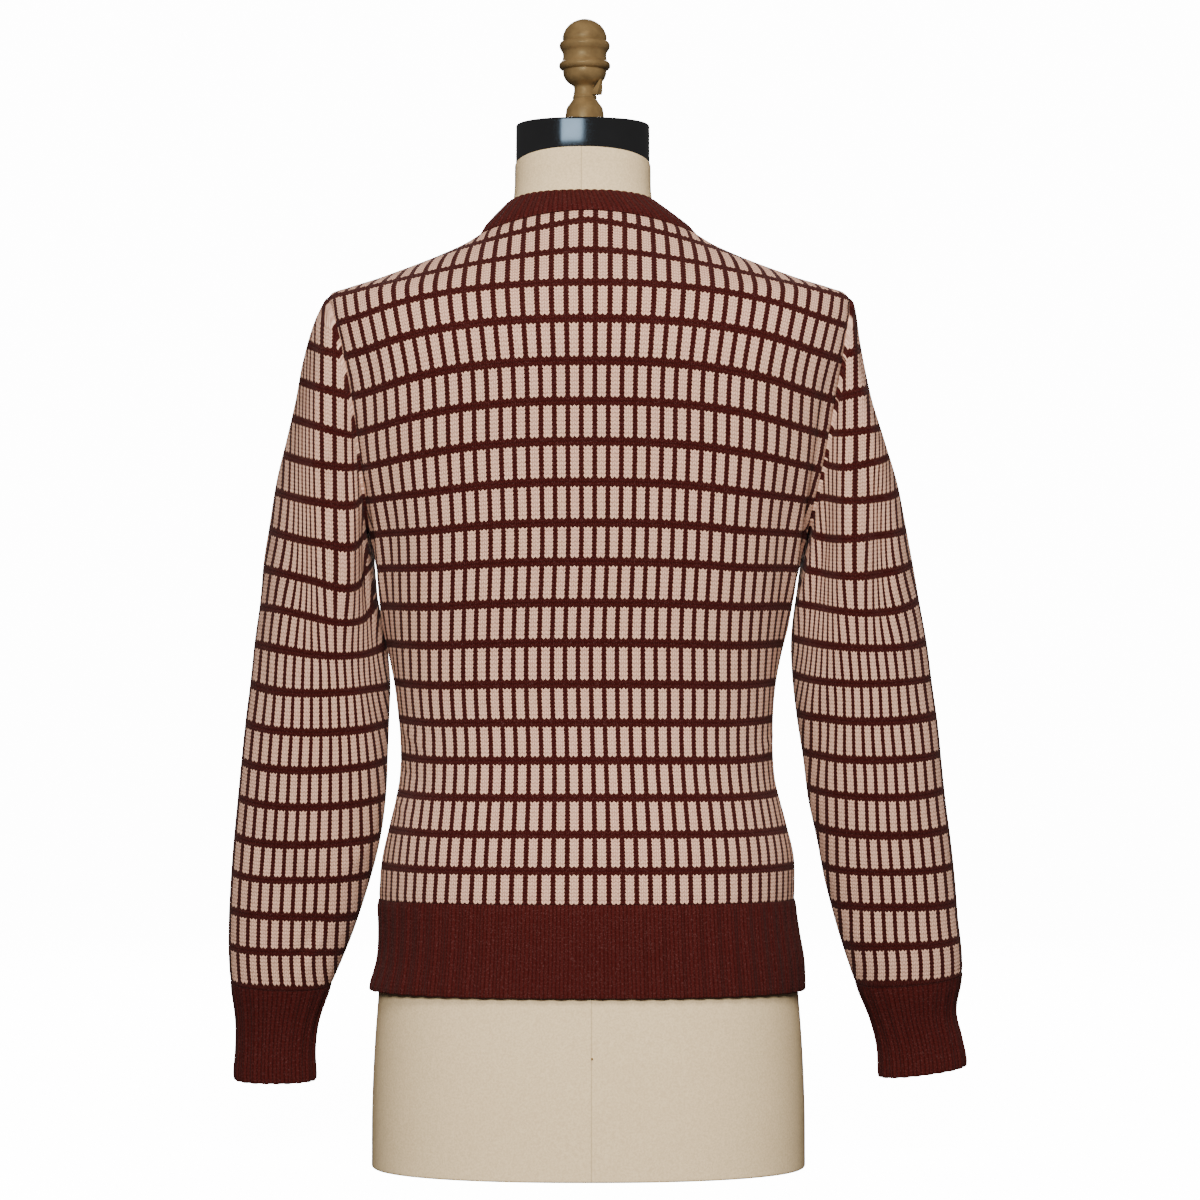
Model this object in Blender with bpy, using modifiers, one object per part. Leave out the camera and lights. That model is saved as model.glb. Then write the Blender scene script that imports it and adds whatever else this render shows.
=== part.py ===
"""Crewneck sweater worn by a limbless dress form, as closed solids.

The sweater is knitted cloth of one wall thickness: a back and a front panel, two set-in sleeves,
a ribbed hem, two ribbed cuffs and a ribbed neckband, each its own piece, 0.3 mm from the next at
the seams. The form is a canvas torso with a flat base, a bright metal neck cap and a turned knob.

Metres, +Z up. The origin is the middle of the form's flat base. The sweater's front faces -Y, and
+X is the wearer's left. Tables are in millimetres.
"""
import math

import bmesh
import bpy
import numpy as np

MM = 0.001
COLLECTION = "crewneck_sweater_on_dress_form"

# Cloth.
WALL = 2.4 * MM
SEAM_GAP = 0.3 * MM

# Heights of the sweater's own lines.
RIB_TOP = 208.3 * MM
HEM_EDGE = 138.0 * MM
UNDERARM = 492.5 * MM
SHOULDER_TIP = 674.7 * MM
NECK_CORNER_HEIGHT = 723.5 * MM
NECK_CORNER_WIDTH = 84.0 * MM
BACK_NECK_HEIGHT = 737.5 * MM
FRONT_NECK_HEIGHT = 655.0 * MM
SCOOP_BOTTOM_POWER = 1.25
SCOOP_SIDE_POWER = 0.55

# How far the armhole swings back and forward of the side, at its middle.
ARMHOLE_BACK = {"left": 52.0 * MM, "right": 39.0 * MM}
ARMHOLE_FRONT = {"left": 68.0 * MM, "right": 71.0 * MM}
ARMHOLE_POWER = 0.85

# Cloth's outer face on the body, a row for each level section.
TORSO_COLUMNS = ("height", "half_width", "back", "front", "side_depth", "back_power", "front_power")
TORSO = (
    (130.0, 171.0, 127.0, 114.0, 0.0, 2.30, 2.20),
    (160.0, 167.3, 125.5, 113.0, 0.0, 2.30, 2.20),
    (208.0, 163.0, 121.5, 112.5, 0.0, 2.30, 2.20),
    (238.0, 160.7, 116.0, 111.5, 0.0, 2.30, 2.20),
    (269.0, 153.7, 106.5, 112.0, 0.0, 2.30, 2.25),
    (300.0, 146.3, 96.0, 114.5, 0.0, 2.32, 2.30),
    (332.0, 144.7, 88.5, 118.0, 0.0, 2.35, 2.35),
    (363.0, 146.6, 86.0, 122.5, 0.0, 2.40, 2.40),
    (394.0, 151.0, 87.0, 129.0, 0.0, 2.40, 2.40),
    (425.0, 157.0, 90.0, 136.0, 0.0, 2.45, 2.40),
    (456.0, 163.5, 93.5, 139.5, 0.0, 2.50, 2.45),
    (492.5, 171.0, 97.3, 134.5, 0.0, 2.50, 2.45),
    (540.0, 186.0, 100.5, 118.0, 2.0, 2.55, 2.40),
    (595.0, 198.0, 104.0, 98.5, 8.0, 2.60, 2.35),
    (640.0, 204.5, 104.0, 83.0, 16.0, 2.50, 2.20),
    (664.0, 205.5, 98.0, 75.5, 19.0, 2.30, 2.05),
    (674.7, 201.5, 93.5, 72.0, 20.0, 2.15, 1.95),
    (690.3, 158.6, 84.5, 65.0, 20.0, 1.90, 1.85),
    (707.5, 114.0, 73.5, 56.0, 20.0, 1.80, 1.80),
    (716.8, 94.0, 67.5, 51.0, 20.0, 1.80, 1.80),
    (723.5, 84.0, 63.5, 47.0, 20.0, 1.80, 1.80),
    (731.0, 73.0, 59.0, 43.0, 19.0, 1.80, 1.80),
    (738.0, 63.0, 54.2, 40.0, 18.0, 1.80, 1.80),
)

# The body's sway to the wearer's left between hem rib and underarm.
SWAY = 2.8 * MM
SWAY_POWER = 1.55

# Sleeves and cuffs, from cuff edge to shoulder: the outer and inner side of each, seen from the
# back, and the middle and half of their depth.
SLEEVE_COLUMNS = ("height", "left_outer", "left_inner", "right_outer", "right_inner",
                  "middle_depth", "half_depth")
SLEEVE = (
    (52.0, 282.0, 218.5, 303.5, 231.5, -71.0, 25.0),
    (76.0, 283.0, 217.3, 302.0, 231.0, -69.0, 25.0),
    (92.0, 281.5, 217.5, 298.5, 230.0, -67.5, 25.0),
    (108.0, 282.7, 213.0, 295.5, 226.0, -65.5, 26.5),
    (124.0, 284.5, 206.5, 295.5, 220.5, -63.5, 29.0),
    (137.0, 286.8, 201.5, 297.6, 214.0, -61.5, 32.0),
    (156.5, 287.2, 194.9, 296.8, 206.9, -58.5, 35.0),
    (188.5, 285.9, 183.5, 293.1, 196.2, -53.5, 37.5),
    (220.5, 283.9, 172.9, 290.2, 187.1, -48.5, 39.5),
    (252.0, 281.0, 164.7, 286.6, 180.5, -43.0, 41.0),
    (284.0, 277.4, 160.0, 282.2, 173.1, -38.0, 42.5),
    (316.0, 273.8, 158.0, 278.5, 168.8, -33.5, 44.0),
    (347.0, 270.2, 156.8, 274.9, 163.9, -29.5, 45.5),
    (379.0, 265.8, 155.8, 269.8, 160.4, -25.5, 47.5),
    (410.0, 262.2, 158.6, 265.3, 159.4, -21.5, 50.0),
    (441.0, 257.9, 164.6, 259.5, 162.2, -17.5, 53.0),
    (472.5, 255.3, 168.6, 254.0, 167.8, -13.0, 56.0),
    (503.0, 250.8, 174.0, 248.5, 174.0, -9.5, 59.0),
    (534.0, 246.4, 178.0, 242.4, 178.0, -7.0, 61.0),
    (566.0, 241.4, 182.0, 234.9, 182.0, -4.0, 62.0),
    (597.0, 235.5, 187.0, 225.7, 187.0, 0.0, 60.0),
    (628.0, 231.0, 192.0, 220.0, 192.0, 5.0, 54.0),
    (652.0, 225.0, 196.0, 216.5, 196.0, 11.0, 44.0),
    (668.0, 217.0, 199.0, 212.5, 199.0, 17.0, 32.0),
    (680.0, 208.0, 201.0, 208.0, 201.0, 20.0, 20.0),
)
SLEEVE_POWER = 2.25
SLEEVE_TOP = 137.0 * MM
CUFF_EDGES = {"left": 58.5 * MM, "right": 66.0 * MM}
SLEEVE_BLEND_START = 395.0 * MM
UNDERARM_TURN = 1.8 * MM
CAP_LEAD = 5.0 * MM
CAP_SPRING = 0.9
SLEEVE_GAP = 1.2 * SEAM_GAP
TURN_REACH = 1.6
TURN_START = 0.5
SLEEVE_ROW_POWER = 0.92
FOLD_FADE = 0.18

# Soft folds of the sleeves: from one angle and height to another, round from the outer side
# over the back; depth is positive for a ridge.
FOLD_END = 18.0
FOLD_START_SHARE = 0.35
FOLD_COLUMNS = ("side", "angle", "height", "end_angle", "end_height", "width", "depth")
SLEEVE_FOLDS = (
    ("left", 80.0, 625.0, 84.0, 455.0, 13.0, -4.0),
    ("left", 107.0, 600.0, 113.0, 455.0, 12.0, 3.6),
    ("left", 130.0, 500.0, 152.0, 405.0, 13.0, -2.6),
    ("left", 125.0, 395.0, 165.0, 325.0, 15.0, -2.4),
    ("left", 100.0, 205.0, 128.0, 150.0, 15.0, -2.0),
    ("left", 250.0, 520.0, 225.0, 410.0, 18.0, -3.0),
    ("left", 245.0, 330.0, 285.0, 270.0, 18.0, -2.6),
    ("right", 66.0, 565.0, 70.0, 450.0, 13.0, -3.6),
    ("right", 91.0, 620.0, 93.0, 455.0, 13.0, 3.6),
    ("right", 121.0, 560.0, 126.0, 450.0, 13.0, -3.6),
    ("right", 140.0, 480.0, 165.0, 400.0, 13.0, 2.4),
    ("right", 110.0, 380.0, 150.0, 300.0, 16.0, -2.4),
    ("right", 260.0, 530.0, 235.0, 420.0, 18.0, -2.4),
    ("right", 240.0, 300.0, 275.0, 235.0, 18.0, -2.4),
)

# Ribs, raised in the outer face only. A rib is a low step, a rise, a flat top and a fall.
RIB_PROFILE = ((0.00, 0.0), (0.16, 1.0), (0.52, 1.0), (0.68, 0.0))
HEM_RIBS = 62
HEM_RIB_HEIGHT = 1.3 * MM
HEM_RIB_SHARES = (0.55, 1.0, 1.0, 0.35)
CUFF_RIBS = 20
CUFF_RIB_HEIGHT = 1.0 * MM
CUFF_RIB_SHARES = (0.55, 1.0, 1.0, 1.0, 0.35)
CUFF_GAP = 1.1 * SEAM_GAP
NECK_RIBS = 66
NECK_RIB_PROFILE = ((0.00, 0.0), (0.30, 1.0), (0.65, 1.0))
NECK_RIB_HEIGHT = 0.8 * MM
NECK_RIB_SHARES = (0.0, 1.0, 0.8)
RIB_EDGE = 3.0 * MM
RIB_END = 4.5 * MM

# The neckband's upper edge, by angle round from the middle of the back.
BAND_GAP = 2.0 * SEAM_GAP
BAND_BEND_SHARE = 0.18
BAND_BEND = 0.6 * MM
BAND_MIDDLE = 4.5 * MM
BAND_HALF_WIDTH = 61.6 * MM
BAND_BACK = 37.4 * MM
BAND_FRONT = 64.5 * MM
BAND_COLUMNS = ("angle", "height")
BAND_EDGE = ((0.0, 755.6), (30.0, 755.2), (55.0, 753.0), (90.0, 742.5), (120.0, 719.0),
             (150.0, 690.0), (180.0, 677.5))

# The form, a row for each level section. Its neck stands a little to one side.
FORM_COLUMNS = ("height", "half_width", "back", "front", "side_depth", "back_power",
                "front_power", "middle")
FORM = (
    (0.0, 168.9, 125.0, 114.0, 0.0, 2.30, 2.20, 0.0),
    (50.0, 168.5, 125.5, 114.0, 0.0, 2.30, 2.20, 0.0),
    (100.0, 166.2, 124.0, 112.0, 0.0, 2.30, 2.20, 0.0),
    (139.0, 163.3, 121.5, 109.5, 0.0, 2.30, 2.20, 0.0),
    (208.0, 159.9, 118.4, 109.3, 0.0, 2.30, 2.20, 0.0),
    (238.0, 157.0, 112.2, 106.5, 0.0, 2.30, 2.20, 0.0),
    (269.0, 149.0, 101.5, 102.0, 0.0, 2.30, 2.20, 0.0),
    (300.0, 142.0, 91.0, 99.0, 0.0, 2.32, 2.25, 0.0),
    (332.0, 140.0, 84.0, 98.0, 0.0, 2.35, 2.30, 0.0),
    (363.0, 142.0, 81.5, 102.0, 0.0, 2.40, 2.35, 0.0),
    (394.0, 146.0, 82.5, 112.0, 0.0, 2.40, 2.35, 0.0),
    (425.0, 152.0, 85.5, 125.0, 0.0, 2.45, 2.35, 0.0),
    (456.0, 158.5, 89.0, 132.0, 0.0, 2.50, 2.40, 0.0),
    (492.5, 165.0, 92.5, 128.0, 0.0, 2.50, 2.40, 0.0),
    (540.0, 175.0, 95.5, 111.0, 2.0, 2.50, 2.30, 0.0),
    (595.0, 183.0, 99.0, 91.5, 8.0, 2.50, 2.25, 0.0),
    (640.0, 186.0, 98.0, 76.0, 16.0, 2.45, 2.05, 0.0),
    (660.0, 185.5, 92.5, 69.5, 19.0, 2.20, 1.85, 0.0),
    (671.0, 182.0, 88.0, 64.0, 20.0, 2.00, 1.80, 0.2),
    (684.0, 162.5, 81.0, 59.6, 20.0, 1.80, 1.60, 0.5),
    (701.0, 118.5, 71.0, 58.5, 19.5, 1.72, 1.42, 1.0),
    (711.0, 92.3, 64.0, 58.5, 19.0, 1.70, 1.45, 1.0),
    (720.0, 75.0, 57.5, 58.5, 16.0, 1.75, 1.65, 2.0),
    (730.0, 65.5, 51.0, 58.8, 8.0, 1.85, 1.85, 4.2),
    (742.0, 57.0, 38.5, 59.0, -5.0, 2.05, 2.05, 4.5),
    (756.0, 54.2, 32.5, 59.0, -11.0, 2.20, 2.20, 4.5),
    (779.7, 53.4, 31.5, 59.5, -14.0, 2.20, 2.20, 4.5),
)
FORM_CUT_SLOPE = 0.225
FORM_CUT_START = 742.0 * MM

# The metal neck cap and the turned knob on it.
CAP_TOP = 813.0 * MM
CAP_INSET = 0.9 * MM
CAP_EDGE = 1.4 * MM
KNOB_CENTRE = (3.0 * MM, -13.5 * MM)
KNOB_STEPS = 28
KNOB_COLUMNS = ("radius", "height")
KNOB = (
    (0.0, 896.4), (4.6, 895.7), (8.8, 894.0), (13.3, 890.6), (16.2, 886.0), (17.4, 880.9),
    (17.1, 878.9), (19.0, 877.8), (19.9, 875.4), (19.2, 872.6), (17.6, 870.2), (17.1, 866.4),
    (17.8, 863.4), (19.8, 861.2), (20.2, 859.0), (19.0, 857.0), (17.1, 856.0), (17.0, 853.6),
    (15.9, 850.0), (13.4, 846.8), (10.6, 844.8), (9.0, 843.6), (8.9, 836.4), (9.6, 834.8),
    (9.3, 833.4), (11.7, 830.0), (14.1, 826.5), (14.9, 822.5), (15.4, 813.3), (0.0, 813.3),
)

# The small brass catch beside the knob's stem: its foot and its tip, as distance from the knob's
# axis to the near and far face, half width, and height.
CATCH_ANGLE = math.radians(145.0)
CATCH_COLUMNS = ("near", "far", "half_width", "height")
CATCH = ((9.5, 14.2, 3.2, 836.0), (9.5, 15.0, 3.0, 839.0), (15.2, 16.3, 0.9, 847.8))

# Colour, roughness and metal of each material.
KNIT = ((0.66, 0.52, 0.44), 0.9, 0.0)
RIB = ((0.085, 0.012, 0.013), 0.9, 0.0)
CANVAS = ((0.66, 0.60, 0.49), 0.85, 0.0)
CHROME = ((0.32, 0.34, 0.37), 0.2, 1.0)
BRASS = ((0.36, 0.24, 0.09), 0.4, 1.0)

# Mesh steps, and the share within which two widths count as equal.
NEAR = 1e-4
LOWER_ROWS = 9
ARM_ROWS = 11
NECK_STEPS = 6
SIDE_STEPS = 7
SLEEVE_ROWS = 15
FORM_STEPS = 32
LOOP_SAMPLES = 720


def column(table, names, name):
    """One named column of a table."""
    return np.array([row[names.index(name)] for row in table], dtype=float)


def smooth_curve(xs, ys, at):
    """Cubic curve through the points (xs, ys), with each knot's slope from its neighbours."""
    slopes = np.gradient(ys, xs)
    at = np.clip(np.asarray(at, dtype=float), xs[0], xs[-1])
    left = np.clip(np.searchsorted(xs, at) - 1, 0, len(xs) - 2)
    step = xs[left + 1] - xs[left]
    t = (at - xs[left]) / step
    start = (1 + 2 * t) * (1 - t) ** 2 * ys[left] + t * (1 - t) ** 2 * step * slopes[left]
    end = t * t * (3 - 2 * t) * ys[left + 1] + t * t * (t - 1) * step * slopes[left + 1]
    return start + end


def read(table, names, name, height):
    """A millimetre column of a table at a height in metres, returned in metres."""
    heights = column(table, names, "height")
    return smooth_curve(heights, column(table, names, name), np.asarray(height) / MM) * MM


def torso(name, height):
    """A size of the body's cloth, in metres, or a power as it stands."""
    value = read(TORSO, TORSO_COLUMNS, name, height)
    return value / MM if name.endswith("power") else value


def smooth_step(value):
    """0 to 1, level at both ends."""
    value = np.clip(value, 0.0, 1.0)
    return value * value * (3 - 2 * value)


def unit(vectors):
    """Vectors at length one."""
    return vectors / np.maximum(np.linalg.norm(vectors, axis=-1, keepdims=True), 1e-12)


def signed_power(value, power):
    """A power that keeps the value's sign."""
    return np.sign(value) * np.abs(value) ** power


# --- the body's cloth -------------------------------------------------------------------------

def torso_depth(x, height, facing):
    """Depth of the cloth's outer face at a width and height: facing is 1 behind, -1 in front."""
    side = torso("side_depth", height)
    reach = torso("back", height) - side if facing > 0 else torso("front", height) + side
    power = torso("back_power" if facing > 0 else "front_power", height)
    share = np.clip(np.abs(x) / torso("half_width", height), 0.0, 1.0)
    return side + facing * reach * (1 - share ** power) ** (1 / power)


def torso_width(depth, height, facing):
    """Width of the cloth's outer face at a depth, measured from the side, and a height."""
    side = torso("side_depth", height)
    reach = torso("back", height) - side if facing > 0 else torso("front", height) + side
    power = torso("back_power" if facing > 0 else "front_power", height)
    share = np.clip(depth / reach, 0.0, 1.0)
    return torso("half_width", height) * (1 - share ** power) ** (1 / power)


def torso_field(points):
    """Zero on the cloth's outer face, and more outside it."""
    x, y, z = points[..., 0], points[..., 1], points[..., 2]
    side = torso("side_depth", z)
    behind = y >= side
    reach = np.where(behind, torso("back", z) - side, torso("front", z) + side)
    power = np.where(behind, torso("back_power", z), torso("front_power", z))
    return np.abs(x / torso("half_width", z)) ** power + np.abs((y - side) / reach) ** power


def torso_normal(points, step=0.2 * MM):
    """Outward direction of the cloth at points on it."""
    slopes = []
    for axis in range(3):
        shift = np.zeros(3)
        shift[axis] = step
        slopes.append(torso_field(points + shift) - torso_field(points - shift))
    return unit(np.stack(slopes, axis=-1))


def sway(height):
    """How far the body's sections stand off its middle, toward +X."""
    share = np.clip((np.asarray(height) - RIB_TOP) / (UNDERARM - RIB_TOP), 0.0, 1.0)
    return SWAY * np.sin(math.pi * share ** SWAY_POWER) ** 2


def armhole(side, facing):
    """One side's armhole edge, as on +X, from underarm to shoulder tip, on one panel."""
    turn = np.linspace(0.0, math.pi, ARM_ROWS + 1)
    height = UNDERARM + (SHOULDER_TIP - UNDERARM) * (1 - np.cos(turn)) / 2
    swing = (ARMHOLE_BACK if facing > 0 else ARMHOLE_FRONT)[side] * np.sin(turn) ** ARMHOLE_POWER
    width = torso_width(swing, height, facing)
    depth = torso("side_depth", height) + facing * swing
    return np.stack([width, depth, height], axis=-1)


def edge_width(height, side, facing):
    """Half width that a panel's columns spread to: the side, then the armhole, then straight."""
    edge = armhole(side, facing)
    above = np.interp(height, edge[:, 2], edge[:, 0])
    return np.where(height <= UNDERARM, torso("half_width", height), above)


def crossing(function, low, high):
    """Where a rising function passes zero, by halving."""
    for _ in range(50):
        middle = (low + high) / 2
        if function(middle) < 0:
            low = middle
        else:
            high = middle
    return (low + high) / 2


def front_neck_width(height):
    """Half width of the front neckline, a round scoop from the corner down to the middle."""
    drop = (NECK_CORNER_HEIGHT - height) / (NECK_CORNER_HEIGHT - FRONT_NECK_HEIGHT)
    left = 1 - min(max(drop, 0.0), 1.0) ** SCOOP_BOTTOM_POWER
    return NECK_CORNER_WIDTH * left ** SCOOP_SIDE_POWER


def panel_top(spread, side, facing):
    """Height where a panel's column ends: on the neckline, or on the shoulder seam."""
    tip = edge_width(SHOULDER_TIP, side, facing)
    width = tip * spread
    if width <= NECK_CORNER_WIDTH * (1 + NEAR):
        if facing > 0:
            drop = (BACK_NECK_HEIGHT - NECK_CORNER_HEIGHT) * (width / NECK_CORNER_WIDTH) ** 2
            return BACK_NECK_HEIGHT - drop
        return crossing(lambda z: front_neck_width(z) - edge_width(z, side, facing) * spread,
                        FRONT_NECK_HEIGHT, NECK_CORNER_HEIGHT)
    return crossing(lambda z: width - torso("half_width", z), SHOULDER_TIP, NECK_CORNER_HEIGHT)


def panel_angles():
    """Angles of a panel's columns from its middle, with one on each neck corner and side."""
    spread = NECK_CORNER_WIDTH / float(torso("half_width", SHOULDER_TIP))
    neck = np.sin(np.linspace(0, math.pi / 2, NECK_STEPS + 1))
    half = list(np.arcsin(spread * neck))
    half += list(np.linspace(half[-1], math.pi / 2, SIDE_STEPS + 1))[1:]
    return np.array([-angle for angle in half[:0:-1]] + half)


def panel_grid(facing):
    """Outer points of the back (facing 1) or front (-1) panel, rows from the rib upward."""
    angles = panel_angles()
    lower = np.linspace(0.0, 1.0, LOWER_ROWS + 1)
    upper = (1 - np.cos(np.linspace(0.0, math.pi, ARM_ROWS + 1))) / 2
    grid = np.zeros((LOWER_ROWS + ARM_ROWS + 1, len(angles), 3))
    for number, angle in enumerate(angles):
        side = "left" if angle >= 0 else "right"
        edge = armhole(side, facing)
        spread = abs(math.sin(angle))
        heights = list(RIB_TOP + (UNDERARM - RIB_TOP) * lower)
        heights += list(UNDERARM + (panel_top(spread, side, facing) - UNDERARM) * upper)[1:]
        heights = np.array(heights)
        widths = edge_width(heights, side, facing) * spread
        depths = torso_depth(widths, heights, facing)
        on_side = number in (0, len(angles) - 1)
        if on_side:
            widths[LOWER_ROWS:] = edge[:, 0]
            depths[LOWER_ROWS:] = edge[:, 1]
        elif spread * edge_width(SHOULDER_TIP, side, facing) >= NECK_CORNER_WIDTH * (1 - NEAR):
            depths[-1] = torso("side_depth", heights[-1])
        sign = 1 if angle >= 0 else -1
        grid[:, number] = np.stack([sign * widths, depths, heights], axis=-1)
    return grid


def neck_columns():
    """Numbers of a panel's first and last column on the neckline."""
    return SIDE_STEPS, SIDE_STEPS + 2 * NECK_STEPS


def part_seams(grid, facing):
    """Moves a panel's side and shoulder edges half a seam gap away from the other panel."""
    first, last = neck_columns()
    moved = grid.copy()
    away = facing * SEAM_GAP / 2
    for number in (0, grid.shape[1] - 1):
        moved[:LOWER_ROWS + 1, number, 1] += away
    moved[-1, :first + 1, 1] += away
    moved[-1, last:, 1] += away
    return moved


# --- the sleeves ------------------------------------------------------------------------------

def sleeve_size(name, height):
    """A size of the sleeves, in metres, at a height."""
    return read(SLEEVE, SLEEVE_COLUMNS, name, height)


def sleeve_lean(height):
    """How fast the sleeve's middle moves back as the height rises."""
    above = sleeve_size("middle_depth", height + MM)
    below = sleeve_size("middle_depth", height - MM)
    return (above - below) / (2 * MM)


def sleeve_point(side, height, angle):
    """Point on a plain sleeve, as if on the +X side; angle runs from the outer side backward."""
    outer = sleeve_size(side + "_outer", height)
    inner = sleeve_size(side + "_inner", height)
    middle = sleeve_size("middle_depth", height)
    lean = sleeve_lean(height)
    across = signed_power(np.cos(angle), 2 / SLEEVE_POWER)
    back = signed_power(np.sin(angle), 2 / SLEEVE_POWER)
    x = (outer + inner) / 2 + (outer - inner) / 2 * across
    swing = sleeve_size("half_depth", height) * back
    return np.stack([x, middle + swing, height - swing * lean], axis=-1)


def ring_outward(loop, height):
    """Outward directions of a sleeve's ring, in the ring's own slanting plane."""
    axis = unit(np.array([0.0, float(sleeve_lean(height)), 1.0]))
    out = unit(np.cross(loop_tangents(loop), axis))
    flip = ((out * (loop - loop.mean(axis=0))).sum(axis=-1)).mean() < 0
    return -out if flip else out


def fold_lift(side, angle, height):
    """How far the folds move a sleeve's face out at an angle and height."""
    lift = np.zeros(np.broadcast(angle, height).shape)
    degrees = np.degrees(angle) % 360
    for row in SLEEVE_FOLDS:
        fold = dict(zip(FOLD_COLUMNS, row))
        if fold["side"] != side:
            continue
        run = (fold["height"] - height / MM) / (fold["height"] - fold["end_height"])
        along = np.clip(run, 0, 1)
        line = fold["angle"] + (fold["end_angle"] - fold["angle"]) * along
        ends = np.exp(-((run - along) * (fold["height"] - fold["end_height"]) / FOLD_END) ** 2)
        swell = FOLD_START_SHARE + (1 - FOLD_START_SHARE) * np.sin(np.pi * along)
        lift += fold["depth"] * MM * ends * swell * np.exp(-((degrees - line) / fold["width"]) ** 2)
    return lift


def sleeve_loop(side):
    """One side's armhole, as on +X, from the shoulder over the back, without a repeat."""
    return np.concatenate([armhole(side, 1)[::-1], armhole(side, -1)[1:-1]])


def armhole_normals(side):
    """Outward directions of the cloth round the armhole, evened out along its edge."""
    normals = torso_normal(sleeve_loop(side))
    for _ in range(2):
        normals = unit(np.roll(normals, 1, axis=0) + 2 * normals + np.roll(normals, -1, axis=0))
    return normals


def loop_tangents(loop):
    """Direction along a closed loop at each point."""
    return unit(np.roll(loop, -1, axis=0) - np.roll(loop, 1, axis=0))


def sleeve_shell(side):
    """Outer and inner points of a sleeve, as on the +X side, rows from the cuff to the armhole."""
    loop = sleeve_loop(side)
    normal = armhole_normals(side)
    away = unit(np.cross(loop_tangents(loop), normal))
    away *= np.where((away * (loop - loop.mean(axis=0))).sum(axis=-1) > 0, -1, 1)[:, None]
    count = len(loop)
    angle = 2 * math.pi * np.arange(count) / count
    seam = loop + SLEEVE_GAP * away
    turn = smooth_step((1 - np.cos(angle)) / 2 * TURN_REACH - TURN_START)[:, None]
    down = np.array([0.0, 0.0, -1.0])
    lead = seam + CAP_LEAD * (1 - turn) * unit(normal * CAP_SPRING + down) + UNDERARM_TURN * turn * normal

    top = lead[:, 2].copy()
    for _ in range(6):
        top += lead[:, 2] - sleeve_point(side, top, angle)[:, 2]
    shift = lead - sleeve_point(side, top, angle)
    rows = []
    for share in np.linspace(0.0, 1.0, SLEEVE_ROWS + 1) ** SLEEVE_ROW_POWER:
        height = SLEEVE_TOP + (top - SLEEVE_TOP) * share
        blend = smooth_step((height - SLEEVE_BLEND_START) / (top - SLEEVE_BLEND_START))
        rows.append(sleeve_point(side, height, angle) + blend[:, None] * shift)
    tube = np.array(rows)
    facing = grid_normals(tube)
    heights = tube[..., 2]
    fade = smooth_step((1 - np.linspace(0, 1, SLEEVE_ROWS + 1)) / FOLD_FADE)[:, None]
    lift = fold_lift(side, angle[None, :], heights) * fade
    tube = tube + facing * lift[..., None]
    facing = grid_normals(tube)
    facing[0] = ring_outward(tube[0], SLEEVE_TOP)

    rising = ((lead - seam) * normal).sum(axis=-1, keepdims=True) > 0
    bend = (1 - (normal * facing[-1]).sum(axis=-1, keepdims=True)) * rising
    middle_normal = unit(normal + facing[-1] - bend * away)
    middle = (seam + lead) / 2 + away * UNDERARM_TURN / 2 * turn
    outer = np.concatenate([tube, middle[None], seam[None]])
    inner = np.concatenate([
        tube - WALL * facing,
        (middle - WALL * middle_normal)[None],
        (seam - WALL * normal)[None],
    ])
    return outer, inner


def grid_normals(grid):
    """Outward directions of a tube's grid of points, whose rows go up and columns run round."""
    along = np.gradient(grid, axis=0)
    around = np.roll(grid, -1, axis=1) - np.roll(grid, 1, axis=1)
    normals = unit(np.cross(around, along))
    centre = grid.mean(axis=1, keepdims=True)
    flip = ((grid - centre) * normals).sum(axis=-1).mean() < 0
    return -normals if flip else normals


# --- ribbed rings -----------------------------------------------------------------------------

def resample(loop, shares):
    """Points at shares of a closed loop's length."""
    closed = np.concatenate([loop, loop[:1]])
    run = np.concatenate([[0.0], np.cumsum(np.linalg.norm(np.diff(closed, axis=0), axis=1))])
    at = np.asarray(shares) * run[-1]
    return np.stack([np.interp(at, run, closed[:, axis]) for axis in range(3)], axis=-1)


def rib_shares(ribs, profile):
    """Place round the ring, and lift from 0 to 1, of each outer point of a ribbed ring."""
    shares = []
    lifts = []
    for rib in range(ribs):
        for place, lift in profile:
            shares.append((rib + place) / ribs)
            lifts.append(lift)
    return np.array(shares), np.array(lifts)


def ribbed_ring(name, loops, inner_loops, ribs, profile, height, raised):
    """A closed ring whose outer face carries ribs and whose inner face is plain.

    loops and inner_loops run from one edge to the other; raised says how much of the ribs'
    height each outer loop carries.
    """
    shares, lifts = rib_shares(ribs, profile)
    outer = []
    for number, loop in enumerate(loops):
        points = resample(loop, shares)
        inside = resample(inner_loops[number], shares)
        out = unit(points - inside)
        outer.append(points + out * (height * raised[number] * lifts)[:, None])
    inner = [resample(loop, np.arange(ribs) / ribs) for loop in inner_loops]
    points = np.concatenate(outer + inner)
    around = len(shares)
    faces = []
    for row in range(len(outer) - 1):
        for number in range(around):
            after = (number + 1) % around
            low, high = row * around, (row + 1) * around
            faces.append((low + number, low + after, high + after, high + number))
    bottom = len(outer) * around
    top = bottom + (len(inner) - 1) * ribs
    last = (len(outer) - 1) * around
    each = len(profile)
    for rib in range(ribs):
        after = (rib + 1) % ribs
        for row in range(bottom, top, ribs):
            faces.append((row + after, row + rib, row + ribs + rib, row + ribs + after))
        edge = [rib * each + step for step in range(each)] + [after * each]
        for start, end in zip(edge, edge[1:]):
            faces.append((bottom + rib, end, start))
            faces.append((top + rib, last + start, last + end))
        faces.append((bottom + after, edge[-1], bottom + rib))
        faces.append((top + rib, last + edge[-1], top + after))
    return mesh_object(name, points, faces)


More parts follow.
